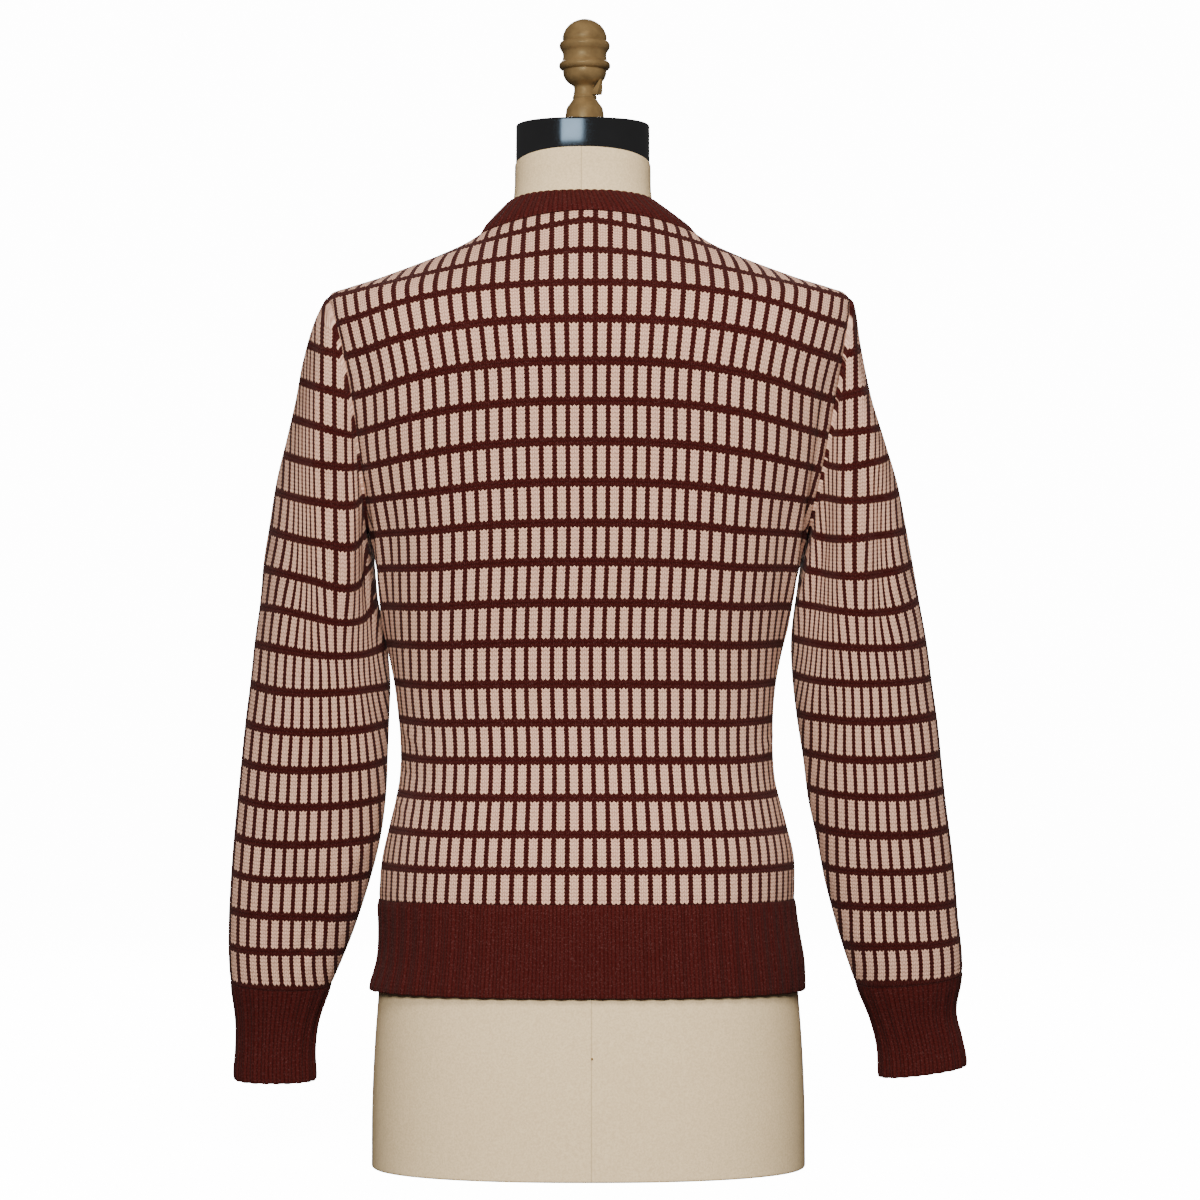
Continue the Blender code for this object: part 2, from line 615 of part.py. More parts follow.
def level_loop(height):
    """The cloth's outer face at one height, round from the middle of the back toward +X."""
    turn = np.linspace(0, 2 * math.pi, LOOP_SAMPLES, endpoint=False)
    share = np.sin(turn)
    half = float(torso("half_width", height))
    back = torso_depth(half * np.abs(share), np.full(LOOP_SAMPLES, height), 1)
    front = torso_depth(half * np.abs(share), np.full(LOOP_SAMPLES, height), -1)
    depth = np.where(np.cos(turn) >= 0, back, front)
    return np.stack([half * share, depth, np.full(LOOP_SAMPLES, height)], axis=-1)


def inward(loop, normals):
    """A loop moved one wall thickness inward."""
    return loop - WALL * normals


def build_hem():
    """Ribbed hem, below the panels."""
    heights = [HEM_EDGE, HEM_EDGE + RIB_EDGE, RIB_TOP - RIB_END, RIB_TOP - SEAM_GAP]
    loops = [level_loop(height) for height in heights]
    inner = []
    for loop in loops:
        normals = torso_normal(loop) * np.array([1.0, 1.0, 0.0])
        inner.append(inward(loop, unit(normals)))
    return ribbed_ring("hem_rib", loops, inner, HEM_RIBS, RIB_PROFILE, HEM_RIB_HEIGHT,
                       HEM_RIB_SHARES)


def build_cuff(side):
    """Ribbed cuff, below a sleeve."""
    edge = CUFF_EDGES[side]
    heights = [edge, edge + RIB_EDGE, (edge + SLEEVE_TOP) / 2, SLEEVE_TOP - RIB_END]
    heights.append(SLEEVE_TOP - CUFF_GAP)
    angle = np.linspace(0, 2 * math.pi, LOOP_SAMPLES, endpoint=False)
    loops = [sleeve_point(side, np.full(LOOP_SAMPLES, height), angle) for height in heights]
    inner = []
    for loop, height in zip(loops, heights):
        inner.append(inward(loop, ring_outward(loop, height)))
    if side == "right":
        loops = [mirror_loop(loop) for loop in loops]
        inner = [mirror_loop(loop) for loop in inner]
    return ribbed_ring("cuff_" + side, loops, inner, CUFF_RIBS, RIB_PROFILE, CUFF_RIB_HEIGHT,
                       CUFF_RIB_SHARES)


def mirror_loop(loop):
    """A loop on the -X side, still running the same way round."""
    return (loop * np.array([-1.0, 1.0, 1.0]))[::-1]


def neck_edge():
    """The panels' neck edge, round from the middle of the back toward +X, and its inner edge."""
    first, last = neck_columns()
    middle = (first + last) // 2
    back = panel_grid(1)[-1, first:last + 1]
    front = panel_grid(-1)[-1, first:last + 1]
    half = middle - first
    loop = np.concatenate([back[half:], front[::-1][1:-1], back[:half]])
    return loop, loop - WALL * torso_normal(loop)


def band_loop():
    """The neckband's upper edge, round from the middle of the back toward +X."""
    turn = np.linspace(0, 2 * math.pi, LOOP_SAMPLES, endpoint=False)
    angles = column(BAND_EDGE, BAND_COLUMNS, "angle")
    heights = column(BAND_EDGE, BAND_COLUMNS, "height")
    folded = np.degrees(np.minimum(turn, 2 * math.pi - turn))
    height = smooth_curve(angles, heights, folded) * MM
    middle = (BAND_BACK - BAND_FRONT) / 2
    depth = middle + (BAND_BACK + BAND_FRONT) / 2 * np.cos(turn)
    return np.stack([BAND_MIDDLE + BAND_HALF_WIDTH * np.sin(turn), depth, height], axis=-1)


def build_neckband():
    """Ribbed neckband, from the panels' neck edge up to its own edge."""
    shares = np.linspace(0, 1, LOOP_SAMPLES, endpoint=False)
    edge, inside = neck_edge()
    low, low_inside = resample(edge, shares), resample(inside, shares)
    high = resample(band_loop(), shares)
    rise = unit(high - low)
    start = low + BAND_GAP * rise
    start_inside = low_inside + BAND_GAP * rise
    tangent = loop_tangents(high)
    out = unit(np.cross(tangent, rise))
    out *= np.where((out * (high - high.mean(axis=0))).sum(axis=-1) > 0, 1, -1)[:, None]
    bend = start + (high - start) * BAND_BEND_SHARE + out * BAND_BEND
    loops = [start, bend, high]
    inner = [start_inside, bend - WALL * out, high - WALL * out]
    return ribbed_ring("neckband", loops, inner, NECK_RIBS, NECK_RIB_PROFILE, NECK_RIB_HEIGHT,
                       NECK_RIB_SHARES)


# --- the form ---------------------------------------------------------------------------------

def form_size(name, height):
    """A size of the form, in metres, or a power as it stands."""
    value = read(FORM, FORM_COLUMNS, name, height)
    return value / MM if name.endswith("power") else value


def form_loop(height, steps, inset=0.0):
    """One section of the form; near the top it is tipped like the cut of the neck."""
    turn = np.linspace(0, 2 * math.pi, steps, endpoint=False)
    side = form_size("side_depth", height)
    behind = np.cos(turn) >= 0
    reach = np.where(behind, form_size("back", height) - side, form_size("front", height) + side)
    power = np.where(behind, form_size("back_power", height), form_size("front_power", height))
    x = (form_size("half_width", height) - inset) * signed_power(np.sin(turn), 2 / power)
    y = side + (reach - inset) * signed_power(np.cos(turn), 2 / power)
    tip = smooth_step((height - FORM_CUT_START) / (FORM[-1][0] * MM - FORM_CUT_START))
    z = height + tip * FORM_CUT_SLOPE * (y - KNOB_CENTRE[1])
    return np.stack([x + form_size("middle", height) + sway(height), y, z], axis=-1)


def loft(name, loops):
    """A closed solid through loops of equal count, with a flat face at each end."""
    points = np.concatenate(loops)
    around = len(loops[0])
    faces = [tuple(range(around))[::-1]]
    for row in range(len(loops) - 1):
        for number in range(around):
            after = (number + 1) % around
            low, high = row * around, (row + 1) * around
            faces.append((low + number, low + after, high + after, high + number))
    faces.append(tuple(range(len(points) - around, len(points))))
    return mesh_object(name, points, faces)


def build_form():
    """Canvas form: a smooth torso on a flat base, with a neck cut on a slope."""
    heights = column(FORM, FORM_COLUMNS, "height") * MM
    return loft("dress_form", [form_loop(height, FORM_STEPS) for height in heights])


def build_neck_cap():
    """Metal cap on the neck, its lower edge on the form's slope and its top level."""
    neck = form_loop(FORM[-1][0] * MM, FORM_STEPS, CAP_INSET)
    low = neck + np.array([0.0, 0.0, SEAM_GAP])
    high = neck.copy()
    high[:, 2] = CAP_TOP - CAP_EDGE
    centre = high.mean(axis=0)
    top = centre + (high - centre) * (1 - CAP_EDGE / np.linalg.norm(high - centre, axis=1))[:, None]
    top[:, 2] = CAP_TOP
    return loft("neck_cap", [low, high, top])


def build_knob():
    """Turned knob: its profile swept round the neck's axis."""
    mesh = bpy.data.meshes.new("knob")
    points = [(radius * MM, 0.0, height * MM) for radius, height in KNOB]
    mesh.from_pydata(points, [(n, n + 1) for n in range(len(points) - 1)], [])
    knob = bpy.data.objects.new("knob", mesh)
    knob.location = (KNOB_CENTRE[0], KNOB_CENTRE[1], 0.0)
    screw = knob.modifiers.new("turn", "SCREW")
    screw.steps = KNOB_STEPS
    screw.render_steps = KNOB_STEPS
    screw.use_merge_vertices = True
    screw.merge_threshold = 0.01 * MM
    return knob


def build_catch():
    """Small leaf of brass beside the knob's stem."""
    out = np.array([math.cos(CATCH_ANGLE), math.sin(CATCH_ANGLE), 0.0])
    across = np.array([-out[1], out[0], 0.0])
    axis = np.array([KNOB_CENTRE[0], KNOB_CENTRE[1], 0.0])
    loops = []
    for row in CATCH:
        size = dict(zip(CATCH_COLUMNS, row))
        corners = ((size["near"], -1), (size["far"], -1), (size["far"], 1), (size["near"], 1))
        loops.append(np.array([
            axis + (out * reach + across * size["half_width"] * side) * MM
            + np.array([0.0, 0.0, size["height"] * MM])
            for reach, side in corners
        ]))
    return loft("catch", loops)


# --- objects ----------------------------------------------------------------------------------

def mesh_object(name, points, faces):
    """A mesh object from points and faces."""
    mesh = bpy.data.meshes.new(name)
    mesh.from_pydata([tuple(point) for point in points], [], faces)
    mesh.validate()
    return bpy.data.objects.new(name, mesh)


def split_outward(points, square, behind):
    """Two triangles of a square, cut along the diagonal that lies further out."""
    a, b, c, d = square
    out = sum(points[corner] - points[corner + behind] for corner in square)
    bulge = (points[a] + points[c] - points[b] - points[d]) @ out
    if bulge >= 0:
        return (a, b, c), (a, c, d)
    return (b, c, d), (b, d, a)


def shell(name, outer, inner, round_about):
    """A closed wall between two grids of points, open or closed round its columns."""
    rows, columns = outer.shape[:2]
    points = np.concatenate([outer.reshape(-1, 3), inner.reshape(-1, 3)])
    behind = rows * columns
    span = columns if round_about else columns - 1
    faces = []
    for row in range(rows - 1):
        for number in range(span):
            after = (number + 1) % columns
            square = (row * columns + number, row * columns + after,
                      (row + 1) * columns + after, (row + 1) * columns + number)
            for triangle in split_outward(points, square, behind):
                faces.append(triangle)
                faces.append(tuple(corner + behind for corner in triangle)[::-1])
    for row, order in ((0, 1), (rows - 1, -1)):
        for number in range(span):
            after = (number + 1) % columns
            start, end = row * columns + number, row * columns + after
            faces.append((start, start + behind, end + behind, end)[::order])
    if not round_about:
        for number, order in ((0, -1), (columns - 1, 1)):
            for row in range(rows - 1):
                start, end = row * columns + number, (row + 1) * columns + number
                faces.append((start, start + behind, end + behind, end)[::order])
    return mesh_object(name, points, faces)


def build_panel(name, facing):
    """Back or front panel."""
    normals = torso_normal(panel_grid(facing))
    normals[0] = unit(normals[0] * np.array([1.0, 1.0, 0.0]))
    for side, number, sign in (("left", -1, 1.0), ("right", 0, -1.0)):
        edge = armhole_normals(side)[:ARM_ROWS + 1][::-1]
        if facing < 0:
            edge = np.roll(armhole_normals(side), -ARM_ROWS, axis=0)[:ARM_ROWS + 1]
        normals[LOWER_ROWS:, number] = edge * np.array([sign, 1.0, 1.0])
    grid = part_seams(panel_grid(facing), facing)
    grid[..., 0] += sway(grid[..., 2])
    inner = grid - WALL * normals
    if facing > 0:
        grid, inner = grid[:, ::-1], inner[:, ::-1]
    return shell(name, grid, inner, False)


def build_sleeve(side):
    """Set-in sleeve of one side."""
    outer, inner = sleeve_shell(side)
    if side == "right":
        flip = np.array([-1.0, 1.0, 1.0])
        outer, inner = (outer * flip)[:, ::-1], (inner * flip)[:, ::-1]
    return shell("sleeve_" + side, outer, inner, True)


def paint(item, colour, roughness, metallic):
    """Gives an object its own material."""
    material = bpy.data.materials.new(item.name)
    material.use_nodes = True
    surface = material.node_tree.nodes["Principled BSDF"]
    surface.inputs["Base Color"].default_value = (*colour, 1.0)
    surface.inputs["Roughness"].default_value = roughness
    surface.inputs["Metallic"].default_value = metallic
    material.diffuse_color = (*colour, 1.0)
    item.data.materials.append(material)


def close_outward(item):
    """Turns an object's faces outward."""
    work = bmesh.new()
    work.from_mesh(item.data)
    if work.faces:
        bmesh.ops.recalc_face_normals(work, faces=work.faces)
    work.to_mesh(item.data)
    work.free()


def main():
    """Builds every piece."""
    for item in list(bpy.data.objects):
        bpy.data.objects.remove(item, do_unlink=True)
    collection = bpy.data.collections.new(COLLECTION)
    bpy.context.scene.collection.children.link(collection)
    pieces = (
        (build_panel("back", 1), KNIT),
        (build_panel("front", -1), KNIT),
        (build_sleeve("left"), KNIT),
        (build_sleeve("right"), KNIT),
        (build_hem(), RIB),
        (build_cuff("left"), RIB),
        (build_cuff("right"), RIB),
        (build_neckband(), RIB),
        (build_form(), CANVAS),
        (build_neck_cap(), CHROME),
        (build_knob(), BRASS),
        (build_catch(), BRASS),
    )
    for item, finish in pieces:
        collection.objects.link(item)
        paint(item, *finish)
        close_outward(item)


main()
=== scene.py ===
"""Look of the crewneck sweater on its dress form: fine knitted shells over the plain solids.

Metres, in the frame of the solids: +Z up, the sweater's front faces -Y, +X is the wearer's left.
The shells repeat the solids' own sections and edges with finer rows, soft creases and rolled
seams. Each carries the knit's chart as a map in stitches: U counts wales, V counts courses.
"""

import math

import bmesh
import bpy
import numpy as np
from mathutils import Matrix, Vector


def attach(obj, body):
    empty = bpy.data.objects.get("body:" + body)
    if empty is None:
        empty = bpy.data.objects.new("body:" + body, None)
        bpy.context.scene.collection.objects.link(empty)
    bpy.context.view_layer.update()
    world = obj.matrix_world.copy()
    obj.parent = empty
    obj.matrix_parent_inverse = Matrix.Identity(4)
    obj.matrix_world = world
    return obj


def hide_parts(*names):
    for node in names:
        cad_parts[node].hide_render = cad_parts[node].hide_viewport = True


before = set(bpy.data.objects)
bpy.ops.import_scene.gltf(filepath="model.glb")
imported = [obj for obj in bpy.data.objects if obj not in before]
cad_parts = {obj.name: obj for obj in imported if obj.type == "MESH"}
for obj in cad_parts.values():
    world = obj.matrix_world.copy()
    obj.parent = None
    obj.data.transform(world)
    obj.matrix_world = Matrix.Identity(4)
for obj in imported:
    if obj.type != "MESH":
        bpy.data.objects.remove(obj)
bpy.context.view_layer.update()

MM = 0.001


# --- tables and curves ------------------------------------------------------------------------

def smooth_curve(xs, ys, at):
    """Cubic curve through the points (xs, ys), with each knot's slope from its neighbours."""
    slopes = np.gradient(ys, xs, axis=0)
    at = np.clip(np.asarray(at, dtype=float), xs[0], xs[-1])
    left = np.clip(np.searchsorted(xs, at) - 1, 0, len(xs) - 2)
    step = xs[left + 1] - xs[left]
    t = (at - xs[left]) / step
    start = (1 + 2 * t) * (1 - t) ** 2 * ys[left] + t * (1 - t) ** 2 * step * slopes[left]
    end = t * t * (3 - 2 * t) * ys[left + 1] + t * t * (t - 1) * step * slopes[left + 1]
    return start + end


class Table:
    """Rows under named columns: sizes in millimetres, powers and counts as they stand."""

    def __init__(self, names, *rows):
        self.columns = dict(zip(names.split(), np.array(rows, dtype=float).T))

    def __getitem__(self, name):
        return self.columns[name]

    def at(self, name, height):
        """A column at a height in metres, on a smooth curve: a size in metres, or a power."""
        scale = 1.0 if name.endswith("power") else MM
        return smooth_curve(self["height"], self[name], np.asarray(height) / MM) * scale

    def rows(self):
        """Each row as a dictionary."""
        return [dict(zip(self.columns, row)) for row in zip(*self.columns.values())]


# --- sizes ------------------------------------------------------------------------------------

WALL = 2.4 * MM
SEAM_GAP = 0.3 * MM
RIB_TOP = 208.3 * MM
HEM_EDGE = 138.0 * MM
UNDERARM = 492.5 * MM
SHOULDER_TIP = 674.7 * MM
NECK_CORNER_HEIGHT = 723.5 * MM
NECK_CORNER_WIDTH = 84.0 * MM
BACK_NECK_HEIGHT = 737.5 * MM
FRONT_NECK_HEIGHT = 655.0 * MM
SCOOP_BOTTOM_POWER = 1.25
SCOOP_SIDE_POWER = 0.55
ARMHOLE_BACK = {"left": 52.0 * MM, "right": 39.0 * MM}
ARMHOLE_FRONT = {"left": 68.0 * MM, "right": 71.0 * MM}
ARMHOLE_POWER = 0.85

# Cloth's outer face on the body, a row for each level section, in millimetres.
TORSO = Table(
    "height half_width back front side_depth back_power front_power",
    (130, 171, 127, 114, 0, 2.3, 2.2),
    (160, 167.3, 125.5, 113, 0, 2.3, 2.2),
    (208, 163, 121.5, 112.5, 0, 2.3, 2.2),
    (238, 160.7, 116, 111.5, 0, 2.3, 2.2),
    (269, 153.7, 106.5, 112, 0, 2.3, 2.25),
    (300, 146.3, 96, 114.5, 0, 2.32, 2.3),
    (332, 144.7, 88.5, 118, 0, 2.35, 2.35),
    (363, 146.6, 86, 122.5, 0, 2.4, 2.4),
    (394, 151, 87, 129, 0, 2.4, 2.4),
    (425, 157, 90, 136, 0, 2.45, 2.4),
    (456, 163.5, 93.5, 139.5, 0, 2.5, 2.45),
    (492.5, 171, 97.3, 134.5, 0, 2.5, 2.45),
    (540, 186, 100.5, 118, 2, 2.55, 2.4),
    (595, 198, 104, 98.5, 8, 2.6, 2.35),
    (640, 204.5, 104, 83, 16, 2.5, 2.2),
    (664, 205.5, 98, 75.5, 19, 2.3, 2.05),
    (674.7, 201.5, 93.5, 72, 20, 2.15, 1.95),
    (690.3, 158.6, 84.5, 65, 20, 1.9, 1.85),
    (707.5, 114, 73.5, 56, 20, 1.8, 1.8),
    (716.8, 94, 67.5, 51, 20, 1.8, 1.8),
    (723.5, 84, 63.5, 47, 20, 1.8, 1.8),
    (731, 73, 59, 43, 19, 1.8, 1.8),
    (738, 63, 54.2, 40, 18, 1.8, 1.8),
)

# The body's sway to the wearer's left between hem rib and underarm.
SWAY = 2.8 * MM
SWAY_POWER = 1.55

# Sleeves and cuffs, from cuff edge to shoulder, in millimetres.
SLEEVE = Table(
    "height left_outer left_inner right_outer right_inner middle_depth half_depth",
    (52, 282, 217.3, 301, 231.5, -71, 25),
    (76, 282.5, 218.3, 300.5, 231, -69, 25),
    (92, 280, 218.5, 297, 230, -67.5, 25),
    (108, 280.7, 215.5, 292.7, 226, -65.5, 26.5),
    (124, 282.5, 210, 292.5, 220.5, -63.5, 29),
    (140, 285, 204, 297, 213, -61, 32.5),
    (156.5, 286.2, 196.5, 296.8, 206.9, -58.5, 35),
    (188.5, 285.9, 183.5, 293.1, 196.2, -53.5, 37.5),
    (220.5, 283.9, 172.9, 290.2, 187.1, -48.5, 39.5),
    (252, 281, 164.7, 286.6, 180.5, -43, 41),
    (284, 277.4, 160, 282.2, 173.1, -38, 42.5),
    (316, 273.8, 158, 278.5, 168.8, -33.5, 44),
    (347, 270.2, 156.8, 274.9, 163.9, -29.5, 45.5),
    (379, 265.8, 155.8, 269.8, 160.4, -25.5, 47.5),
    (410, 262.2, 158.6, 265.3, 159.4, -21.5, 50),
    (441, 257.9, 164.6, 259.5, 162.2, -17.5, 53),
    (472.5, 255.3, 168.6, 254, 167.8, -13, 56),
    (503, 250.8, 174, 248.5, 174, -9.5, 59),
    (534, 246.4, 178, 242.4, 178, -7, 61),
    (566, 239.2, 182, 232.4, 182, -4, 62),
    (597, 232.4, 187, 222.4, 187, 0, 60),
    (628, 226.8, 192, 215.8, 192, 5, 54),
    (652, 219.8, 196, 211.4, 196, 11, 44),
    (668, 212.4, 199, 208.6, 199, 17, 32),
    (680, 205, 200.5, 205, 200.5, 20, 20),
)
SLEEVE_POWER = 2.25
CUFF_TOPS = {"left": 139.0 * MM, "right": 143.0 * MM}
CUFF_EDGES = {"left": 61.0 * MM, "right": 68.0 * MM}

# How far the lower sleeve's rings are tipped, outer side up, in millimetres a metre of width.
TIPS = Table(
    "height left right",
    (50, 0, 140), (110, 15, 110), (145, 30, 90), (175, 20, 60), (205, 0, 15), (230, 0, 0),
    (700, 0, 0),
)

# Where a sleeve turns toward its armhole, how it springs from the seam at the shoulder and turns
# under the arm, and its own gathers and dips at the seam and above the cuff.
SLEEVE_BLEND_START = 395.0 * MM
UNDERARM_TURN = 1.8 * MM
CAP_LEAD = 4.0 * MM
CAP_SPRING = 0.6
SLEEVE_GAP = 1.2 * SEAM_GAP
CUFF_CALM = 18.0 * MM
PUFF_TURN = 0.6
PUFF_EASE = 0.5
CAP_PUFF = 0.5 * MM
CAP_PUFF_PLACE = 12.0 * MM
CAP_PUFF_WIDTH = 9.0 * MM
CAP_PUCKER = 0.18 * MM
CUFF_DIP = 0.4 * MM
CUFF_DIP_WIDTH = 2.5 * MM
SEAM_SINK = 0.6 * MM
TURN_REACH = 1.6
TURN_START = 0.5
FOLD_FADE = 0.18

# Folds of the sleeves, as on the solids and then the finer ones: angle runs from the outer side
# over the back, depth is positive for a ridge.
FOLD_END = 18.0
FOLD_START_SHARE = 0.35
SLEEVE_FOLDS = {
    "left": Table(
        "angle height end_angle end_height width depth",
        (80, 625, 84, 440, 12, -6), (106, 610, 111, 430, 12, 5),
        (132, 560, 150, 405, 12, -4.6), (125, 395, 165, 325, 15, -2.4),
        (100, 205, 128, 150, 15, -2), (250, 520, 225, 410, 18, -3),
        (245, 330, 285, 270, 18, -2.6), (144, 555, 160, 480, 8, 2.4),
        (150, 520, 168, 430, 7, -1.6), (60, 250, 100, 212, 12, -1.2),
        (148, 255, 112, 215, 10, 1.2), (36, 430, 44, 330, 10, -1),
        (112, 185, 100, 150, 7, -2.2), (124, 190, 112, 150, 7, 1.6),
        (300, 600, 290, 480, 14, -2.6), (265, 590, 262, 480, 13, 2.4),
        (205, 470, 232, 360, 10, 1.6), (300, 215, 250, 168, 12, -1.6),
    ),
    "right": Table(
        "angle height end_angle end_height width depth",
        (66, 580, 70, 440, 12, -5.6), (91, 625, 93, 430, 12, 5),
        (119, 575, 128, 440, 12, -5.6), (140, 480, 165, 400, 13, 2.4),
        (110, 380, 150, 300, 16, -2.4), (260, 530, 235, 420, 18, -2.4),
        (240, 300, 275, 235, 18, -2.4), (146, 590, 158, 520, 9, 2.6),
        (150, 500, 160, 450, 7, -1.8), (112, 220, 150, 178, 12, -1.4),
        (62, 300, 92, 245, 12, 1), (40, 470, 46, 350, 10, -1),
        (300, 590, 288, 470, 14, -2.6), (268, 600, 262, 480, 13, 2.2),
        (210, 455, 240, 350, 10, 1.6), (290, 230, 245, 180, 12, -1.5),
    ),
}

# Folds of the body: wales and height of each end, width in wales, depth in millimetres.
BODY_FOLD_END = 20.0
BODY_FOLDS = Table(
    "wale height end_wale end_height width depth",
    (52, 560, 58, 400, 3.2, 2.6), (58, 590, 61.5, 440, 3, -6.5),
    (-57, 590, -61, 445, 3, -6.5), (47, 520, 53, 420, 2.8, -1),
    (60, 470, 57, 320, 2.6, 1.6), (-52, 560, -57, 410, 3.2, 2.8),
    (-46.5, 530, -51, 430, 2.6, -1.1), (-59, 470, -57, 330, 2.6, 1.6),
    (49, 640, 51, 560, 2.6, -1.2), (-49, 640, -51, 560, 2.6, -1.2),
    (56, 352, 38, 322, 2.6, 1.3), (58, 318, 42, 300, 2.2, -0.9),
    (57, 290, 44, 272, 2.4, 1.1), (-57, 338, -41, 314, 2.6, 1.1),
    (-58, 300, -45, 284, 2.4, -0.8), (76, 560, 84, 470, 3.2, 2.2),
    (-76, 565, -83, 480, 3.2, 2.2), (84, 640, 96, 585, 3.4, -1.4),
    (-85, 640, -97, 590, 3.4, -1.4), (80, 400, 92, 330, 3, 1.5),
    (-82, 390, -94, 326, 3, 1.3), (98, 372, 112, 330, 3.2, 1.2),
    (-100, 360, -114, 322, 3.2, 1.2),
)

# The panels near their seams: depth and width of the roll-in at each edge, the swelling beside
# the armhole, its puckers, how far the folds stay off the edges and how deep they may go.
DIPS = {
    "armhole": (0.8 * MM, 2.6 * MM), "shoulder": (0.6 * MM, 2.2 * MM), "side": (0.8 * MM, 2.6 * MM),
    "neck": (0.5 * MM, 2.2 * MM), "rib": (0.5 * MM, 2.5 * MM),
}
SEAM_SWELL = 0.5 * MM
SEAM_SWELL_PLACE = 8.0 * MM
SEAM_SWELL_WIDTH = 5.0 * MM
SEAM_PUCKER = 0.22 * MM
PUCKER_TURN = 1.25
PUCKER_SHIFT = 1.1
PUCKER_PLACE = 5.0 * MM
PUCKER_WIDTH = 4.0 * MM
EDGE_CALM = 16.0 * MM
RIB_CALM = 25.0 * MM
DEEPEST = 1.6 * MM
WAVES = 0.9 * MM
WAVE_COUNT = 18
WAVE_ACROSS = (0.04, 0.16)
WAVE_ALONG = (0.015, 0.07)
WAVE_TILT = 0.04
BODY_SEED = 5
SLEEVE_SEEDS = {"left": 21, "right": 34}

# Room for deeper folds in the armpits: how much, from which wale and height it opens.
ROOM = 4.5 * MM
ROOM_WALE = 50.0
ROOM_EASE = 7.0
ROOM_START = 440.0 * MM
ROOM_RISE = 50.0 * MM

# Ribs: counts and heights, the share of the height from the free edge up, the rounding of that
# edge, where the rows stand as spans of places, and how a rib rises and falls over its width.
HEM_RIBS = 62
HEM_RIB_HEIGHT = 1.3 * MM
CUFF_RIBS = 20
CUFF_RIB_HEIGHT = 1.0 * MM
NECK_RIBS = 66
NECK_RIB_HEIGHT = 0.8 * MM
RIB_COURSE = 2.6 * MM
RIB_FADE = (0.7, 1.0, 1.0, 1.0, 0.9, 0.1)
RIB_UNEVEN = 0.16
RIB_SAMPLES = 12
CUFF_RIB_SAMPLES = 16
LIP_TURNS = np.radians((30.0, 60.0, 90.0, 120.0, 150.0))
LIP_ROUND = 0.45
HEM_SPOTS = ((0.0, 0.12, 4), (0.2, 0.86, 9), (0.9, 1.0, 5))
CUFF_SPOTS = ((0.0, 0.12, 4), (0.2, 0.84, 12), (0.88, 1.0, 5))
NECK_SPOTS = ((0.0, 0.2, 4), (0.32, 0.84, 5), (0.92, 1.0, 3))
RIB_PROFILE = ((0.00, 0.0), (0.16, 1.0), (0.52, 1.0), (0.68, 0.0), (1.00, 0.0))
NECK_RIB_PROFILE = ((0.00, 0.0), (0.30, 1.0), (0.65, 1.0), (1.00, 0.0))

# The neckband: its gap to the panels, the outward bend low on it, and its upper edge, an oval
# whose height is given by the angle from the middle of the back.
BAND_GAP = 2.0 * SEAM_GAP
BAND_BEND_SHARE = 0.18
BAND_BEND = 0.6 * MM
BAND_LOWER = 0.6 * MM
BAND_SWELL = 0.25 * MM
BAND_MIDDLE = 4.5 * MM
BAND_HALF_WIDTH = 61.6 * MM
BAND_BACK = 37.4 * MM
BAND_FRONT = 64.5 * MM
BAND_EDGE = Table(
    "angle height",
    (0, 755.6), (30, 755.2), (55, 753), (90, 742.5), (120, 719), (150, 690), (180, 677.5),
)

# The chart's courses on the body: the height of each at the middle of the back, how far it drops
# toward the side at wale 45 and how sharply, and how far it rises again at the side, in
# millimetres. The powers are plain numbers.
COURSES = Table(
    "course height drop power rise",
    (0, 208.6, 0, 2.5, 0), (9, 233.2, 0, 2.5, 1.5), (29, 287.9, 0, 2.5, 3.5),
    (49, 344.6, 0.5, 2.5, 5.5), (59, 373.9, 1.5, 2.5, 6), (69, 405.1, 3, 2.5, 6.5),
    (79, 435.3, 4.5, 2.5, 7), (89, 466.2, 6.5, 2.5, 8), (99, 495.5, 9, 2.5, 8.5),
    (109, 526.1, 12, 2.5, 8), (119, 556.6, 14, 2.5, 4), (129, 586.9, 15, 2.5, 1),
    (139, 617, 16, 2.5, 0), (149, 649.2, 17, 2.5, 0), (159, 677.6, 19, 2.4, 0),
    (169, 704.4, 25, 1.5, 0), (179, 729.3, 33, 1.2, 0), (184, 741.5, 36, 1.15, 0),
)

# Where the rise starts and ends and how far past wale 45 the side is, as shares of 45 wales.
RISE_START = 0.72
RISE_END = 1.36
DROP_WALE = 45.0
DROP_OVER = 0.47
LAST_COURSE = 2.5

# The width of a repeat of three wales by height, in millimetres, and the wales to the middle of
# the front.
REPEATS = Table(
    "height width",
    (208, 10.55), (238, 10.4), (331, 9.75), (360, 9.85), (425, 9.8), (484, 9.85),
    (550, 10.1), (612, 10.3), (640, 10.7), (670, 11.1), (700, 11.2), (740, 11.3),
)
HALF_ROUND = 132.0

# The sleeves' courses by height, in millimetres, and how even their wales are.
SLEEVE_COURSES = Table(
    "height course",
    (137, -1), (167.8, 9), (287.2, 49), (407.8, 89), (527, 129), (641.7, 169),
    (662, 175.6), (690, 177.2),
)
REPEAT_WALES = 3.0
REPEAT_COURSES = 10.0
SLEEVE_WALE = 3.9 * MM
SLEEVE_EVENNESS = 0.72

